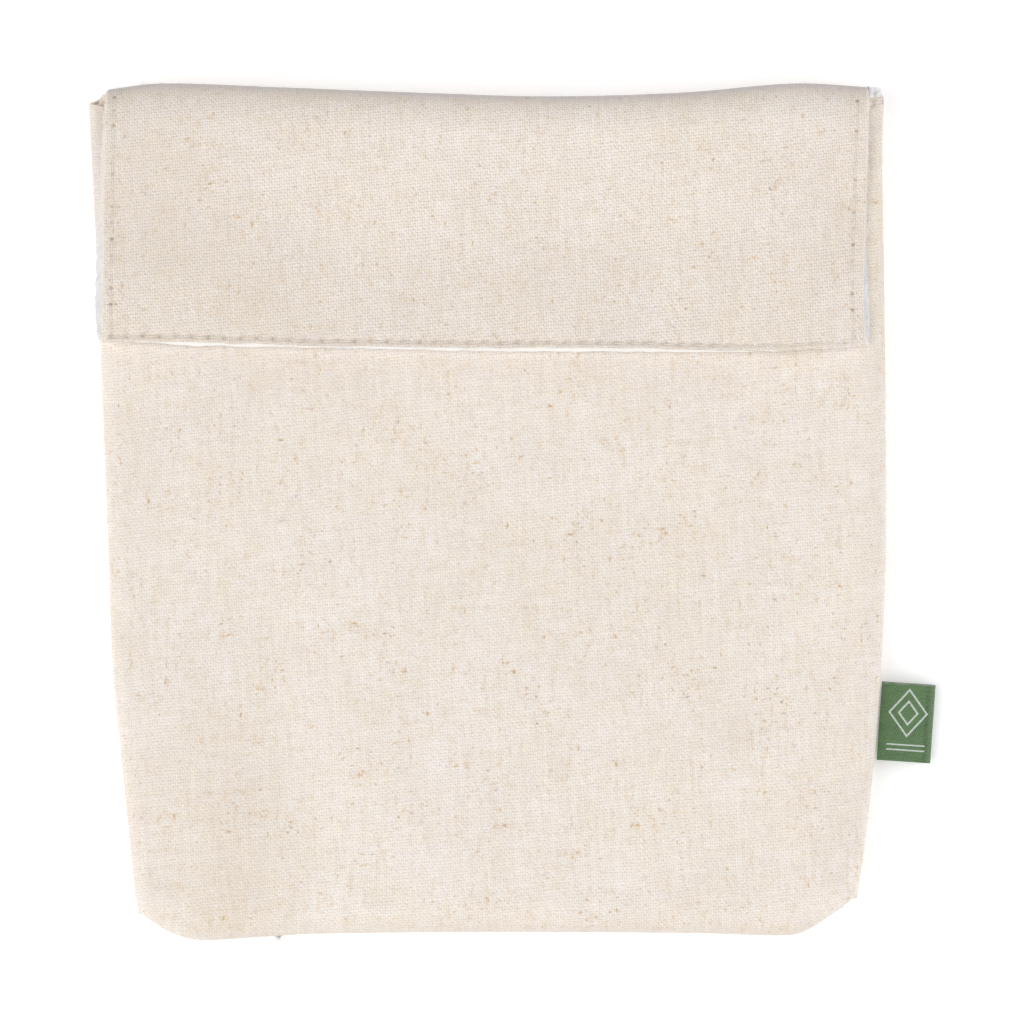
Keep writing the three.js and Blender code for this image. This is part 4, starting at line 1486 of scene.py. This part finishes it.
def ribbon_face(radius):
    away, rise = ribbon_section(radius)
    up = np.linspace(-LABEL_HEIGHT / 2, LABEL_HEIGHT / 2, LABEL_GRID["height"] + 1)
    away, up = np.meshgrid(away, up, indexing="ij")
    wave = LABEL_WAVE * crumple(away, up, LABEL_HEIGHT, CRUMPLE_WAVES, seed=43) * away / LABEL_REACH
    x = away * math.cos(LABEL_TURN) - up * math.sin(LABEL_TURN)
    y = away * math.sin(LABEL_TURN) + up * math.cos(LABEL_TURN)
    seat_x = along(SIDE_EDGES, "y", "right", LABEL_Y) + LABEL_SEAT
    points = joined(seat_x + x, LABEL_Y + y, SEAM_HEIGHT + rise[:, None] + wave)
    return points, joined(away, up, 0)


label_outer, label_cloth = ribbon_face(LABEL_LAYER + LABEL_SPACE / 2)
label_inner, _ = ribbon_face(LABEL_SPACE / 2)
label = sheet_object("side_label_ribbon", label_inner, label_outer, {"cloth": label_cloth}, [label_green])
print("label:", triangles(label), "triangles")

# %% [markdown]
# ## Stitches
#
# The flap's hem is held by one row of machine stitches in thread of the canvas's own colour. Each stitch
# is a short round thread that dives into the cloth at both ends. All of them are one joined mesh, made
# from a single small tube that is repeated along the stitch line.

# %% Thread material
THREAD_CREAM = (0.88, 0.81, 0.72, 1)
THREAD_TAN = (0.77, 0.68, 0.58, 1)
TWIST_PITCH = 0.5
PLY_SHADE = (0.3, -0.9)  # height of the ply at which the tan starts, and is full
PLY_RELIEF = 0.06

thread, tree, shader = new_material("cotton_thread", roughness=0.75)
round_share, along_tube, _ = split(tree, mark(tree, "cloth", "Vector"))
turns = calc(tree, "ADD", calc(tree, "DIVIDE", along_tube, TWIST_PITCH), round_share)
ply = calc(tree, "SINE", calc(tree, "MULTIPLY", turns, 2 * math.pi))
tan_share = fade(tree, ply, *PLY_SHADE)
feed(tree, shader.inputs["Base Color"], mix_colour(tree, tan_share, THREAD_CREAM, THREAD_TAN))
add_relief(tree, shader, ply, PLY_RELIEF)
print("material:", thread.name)

# %% Tube helper
UP = np.array([0.0, 0.0, 1.0])
UPRIGHT_NUDGE = np.array([1e-6, 0, 0])  # so that a tube that stands upright has a side too
TUBE_SIDES = 6


def tubes(name, paths, radius, material, sides=TUBE_SIDES):
    """Joined round tubes along paths with equal numbers of points; radius holds one for each point."""
    paths = np.array(paths)
    ahead = np.gradient(paths, axis=1)
    ahead /= np.linalg.norm(ahead, axis=-1, keepdims=True)
    sideways = np.cross(ahead, UP) + UPRIGHT_NUDGE
    sideways /= np.linalg.norm(sideways, axis=-1, keepdims=True)
    upwards = np.cross(sideways, ahead)
    shares = np.arange(sides) / sides
    turn = (shares * 2 * math.pi)[:, None]
    rings = sideways[:, :, None] * np.cos(turn) + upwards[:, :, None] * np.sin(turn)
    points = paths[:, :, None] + rings * radius[:, None, None]
    cloth = joined(shares, lengths_along(paths, 1)[..., None], 0)
    faces = []
    for tube in np.arange(points.size // 3).reshape(points.shape[:3]):
        faces += grid_quads(np.concatenate([tube, tube[:, :1]], axis=1)).tolist()
        faces += [tube[0, ::-1].tolist(), tube[-1].tolist()]
    marks = {"cloth": cloth.reshape(-1, 3)}
    return mesh_object(name, points.reshape(-1, 3), faces, marks, [material], sharp_edge=None)


print("a stitch is a tube with", TUBE_SIDES, "sides")

# %% Flap stitches
THREAD_RADIUS = 0.2
THREAD_SUNK = 0.6  # share of its radius by which a stitch lies below the cloth beside the groove
THREAD_TAPER = 0.35
STITCH_LENGTH = 3.3
STITCH_SINK = 0.32  # how far a stitch's ends lie below the cloth
STITCH_STEPS = 9


def surface_line(columns_or_rows, offsets, wanted):
    """Points of the flap's face where the distance from an edge has the wanted value."""
    after = int(np.argmax(offsets >= wanted))
    share = (wanted - offsets[after - 1]) / (offsets[after] - offsets[after - 1])
    return mix(columns_or_rows[after - 1], columns_or_rows[after], share)


def stitch_row(line_points, started, length):
    """Short arcs of thread along a line over the cloth; started is where the row's distance is zero."""
    walked = lengths_along(line_points[:, None, :3], 0)[:, 0]
    walked = walked - np.interp(0, started, walked)
    share = np.linspace(0, 1, STITCH_STEPS)
    lift = GROOVE_DEPTH - STITCH_SINK * (2 * share - 1) ** 4 - THREAD_RADIUS * THREAD_SUNK
    paths = []
    for number in range(int(length / STITCH_PITCH)):
        at = number * STITCH_PITCH + (STITCH_PITCH - STITCH_LENGTH) / 2 + share * STITCH_LENGTH
        path = np.stack([np.interp(at, walked, line_points[:, axis]) for axis in range(6)], axis=-1)
        paths.append(path[:, :3] + path[:, 3:] * lift[:, None])
    return paths


flap_rows = np.concatenate([back_outer, outwards], axis=-1)[rows_before_fold:]
flap_columns = np.swapaxes(flap_rows, 0, 1)
flap_up = up_from_edge[rows_before_fold:]
middle = flap_rows.shape[1] // 2
left_line = surface_line(flap_columns[:middle], from_left[-1, :middle], STITCH_INSETS["left"])
right_line = surface_line(flap_columns[:middle:-1], from_right[-1, :middle:-1], STITCH_INSETS["right"])
lower_line = surface_line(flap_rows[::-1], flap_up[::-1, middle], STITCH_INSETS["lower"])
side_start = (flap_up[:, 0] - STITCH_INSETS["lower"])[::-1]
lower_start = lower_line[:, 0] - (flap_left[-1, 0] + STITCH_INSETS["left"])
lower_length = lower_line[-1, 0] - lower_line[0, 0] - sum(STITCH_INSETS[side] for side in ("left", "right"))
stitch_paths = stitch_row(left_line[::-1], side_start, STITCH_TOP)
stitch_paths += stitch_row(right_line[::-1], side_start, STITCH_TOP)
stitch_paths += stitch_row(lower_line, lower_start, lower_length)
taper = THREAD_RADIUS * (1 - THREAD_TAPER * np.abs(np.linspace(-1, 1, STITCH_STEPS)) ** 3)
stitches = tubes("flap_stitches", stitch_paths, taper, thread)
print("stitches:", len(stitch_paths), "with", triangles(stitches), "triangles")

# %% [markdown]
# ## Corner tucks
#
# Where the top fold narrows from the bag to the flap, a little cloth is pushed into each corner. On the
# left it is canvas; on the right a scrap of the white lining shows above it. Each is a small crumpled sheet
# stretched between four points.

# %% Corner tucks
TUCK_LAYER = 0.4
TUCK_STEPS = 16
TUCK_CRUMPLE_SIZE = 2.2
TUCK_CORNERS = {
    "left": ((-97.0, 94.6, 7.2), (-94.6, 93.8, 9.6), (-94.4, 98.3, 9.7), (-96.0, 96.4, 7.8)),
    "right": ((82.3, 93.6, 10.6), (86.75, 95.2, 9.2), (86.75, 97.0, 7.8), (82.9, 97.1, 9.7)),
    "scrap": ((82.9, 96.6, 10.0), (86.6, 96.9, 8.2), (86.0, 99.0, 8.0), (82.8, 99.4, 9.4)),
}


def corner_tuck(name, place, material, height, seed, tone_and_painted_shade=0.0):
    first, second, third, fourth = np.array(TUCK_CORNERS[place])
    across, up = np.meshgrid(np.linspace(0, 1, TUCK_STEPS), np.linspace(0, 1, TUCK_STEPS))
    across, up = across[..., None], up[..., None]
    upper = mix(mix(first, second, across), mix(fourth, third, across), up)
    upper[..., 2] += height * crumple(upper[..., 0], upper[..., 1], TUCK_CRUMPLE_SIZE, CRUMPLE_WAVES, seed)
    # the tuck's painted shade, as a shift of tone
    marks = {"cloth": joined(upper[..., 0], upper[..., 1], 0), "tone_and_painted_shade": np.full(upper.shape[:2], tone_and_painted_shade)}
    return sheet_object(name, upper, upper - [0, 0, TUCK_LAYER], marks, [material])


# the left tuck takes painted shade in its corner, the right one painted light that lifts its shadow
left_tuck = corner_tuck("left_corner_tuck", "left", canvas, height=0.2, seed=61, tone_and_painted_shade=0.35)
right_tuck = corner_tuck("right_corner_tuck", "right", canvas, height=0.12, seed=63, tone_and_painted_shade=-0.15)
lining_scrap = corner_tuck("lining_scrap", "scrap", lining_white, height=0.45, seed=67)
print("corner tucks:", sum(triangles(tuck) for tuck in (left_tuck, right_tuck, lining_scrap)), "triangles")

# %% [markdown]
# ## Loose fibres
#
# Cut and folded canvas sheds fibres. A white tuft hangs from the bottom seam, a few nubs of lint sit on the
# top fold, the flap's lower left corner is frayed, and single hairs stand out along the edges. Each is a
# tapering tube on a short curve, so the same tube helper makes them all.

# %% Fibre helpers
FIBRE_RADIUS = 0.04
FIBRE_TAPER = (1.2, 0.5)  # thickness at the root and at the tip, beside that
FIBRE_STEPS = 5
FIBRE_LENGTHS = (0.4, 1.2)  # shortest and longest beside the given length
FIBRE_SIDES = 3
FIBRE_SEED = 71


def fibre_paths(starts, away, length, spread, random):
    """Short curves that leave each start in about the same direction, with a random bend and length."""
    share = np.linspace(0, 1, FIBRE_STEPS)[:, None]
    paths = []
    for start in starts:
        reach = length * random.uniform(*FIBRE_LENGTHS)
        bend = random.normal(0, spread, (2, 3))
        paths.append(start + reach * ((away + bend[0]) * share + bend[1] * share**2))
    return paths


def fibre_piece(name, paths, material):
    return tubes(name, paths, FIBRE_RADIUS * np.linspace(*FIBRE_TAPER, FIBRE_STEPS), material, FIBRE_SIDES)


print("points along a fibre:", FIBRE_STEPS)

# %% Tufts
TUFTS = (  # x, y, z, way out along the bag, number of fibres, length
    (-54.5, -98.9, 4.6, -1, 60, 1.6),
    (79.7, -89.8, 4.2, -1, 10, 0.8),
    (-85.5, 99.6, 10.0, 1, 12, 0.8),
    (-81.6, 99.8, 10.0, 1, 8, 0.7),
    (68.5, 99.7, 10.0, 1, 9, 0.7),
)
TUFT_WIDTH = 0.5
TUFT_SHAPE = np.array([1, 0.2, 0.4])  # width, length and height of the place that a tuft grows from
TUFT_SPREAD = 0.5
FIBRE_RISE = 0.2  # upwards for each 1 outwards
FRAY_CORNER = np.array([-95.4, 41.2, 14.6])  # the flap's lower left corner
FRAY_PLACE = np.array([0.1, 0.8, 0.2])
FRAY_AWAY = np.array([-1.0, -0.3, 0.0])
FRAY_FIBRES, FRAY_LENGTH, FRAY_SPREAD = 26, 1.0, 0.4

random = np.random.default_rng(FIBRE_SEED)
tuft_paths = []
for x, y, z, way, number, length in TUFTS:
    starts = [x, y, z] + random.normal(0, TUFT_WIDTH, (number, 3)) * TUFT_SHAPE
    tuft_paths += fibre_paths(starts, np.array([0, way, FIBRE_RISE]), length, TUFT_SPREAD, random)
corner = FRAY_CORNER + random.normal(0, 1, (FRAY_FIBRES, 3)) * FRAY_PLACE
tuft_paths += fibre_paths(corner, FRAY_AWAY, FRAY_LENGTH, FRAY_SPREAD, random)
tufts = fibre_piece("white_tufts", tuft_paths, lining_white)
print("tuft fibres:", len(tuft_paths), "with", triangles(tufts), "triangles")

# %% Edge hairs
HAIRS = 30  # along each edge
HAIR_LENGTH = 0.6
HAIR_SPREAD = 0.5
HAIR_INSET = 3  # rows or columns in from the seams, where the roll is widest
HAIR_FOLD_ROW = 12  # rows up the top fold, to its outermost line

hair_paths = []
for edge, away in (
    (back_outer[-1], (0, -1, FIBRE_RISE)),
    (front_outer[:, HAIR_INSET], (-1, 0, FIBRE_RISE)),
    (front_outer[:, -1 - HAIR_INSET], (1, 0, FIBRE_RISE)),
    (front_outer[HAIR_INSET], (0, -1, FIBRE_RISE)),
    (back_outer[rows_before_fold + HAIR_FOLD_ROW], (0, 1, FIBRE_RISE)),
):
    starts = edge[random.integers(0, len(edge), HAIRS)]
    hair_paths += fibre_paths(starts, np.array(away), HAIR_LENGTH, HAIR_SPREAD, random)
hairs = fibre_piece("edge_hairs", hair_paths, thread)
print("edge hairs:", len(hair_paths), "with", triangles(hairs), "triangles")

# %% [markdown]
#
# Each piece rides on the bag's one body. Each of the four sheets stands for its solid in the imported model,
# which is hidden.

for piece, node, slot in (
    (front_wall, "front_panel", "canvas"),
    (back_wall, "back_panel", "canvas"),
    (flap_lining, "flap_lining", "lining"),
    (label, "side_label", "label"),
):
    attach(piece, "root")
    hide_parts(node)
for piece, slot in (
    (stitches, "canvas"),
    (left_tuck, "canvas"),
    (right_tuck, "canvas"),
    (lining_scrap, "lining"),
    (tufts, "lining"),
    (hairs, "canvas"),
):
    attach(piece, "root")
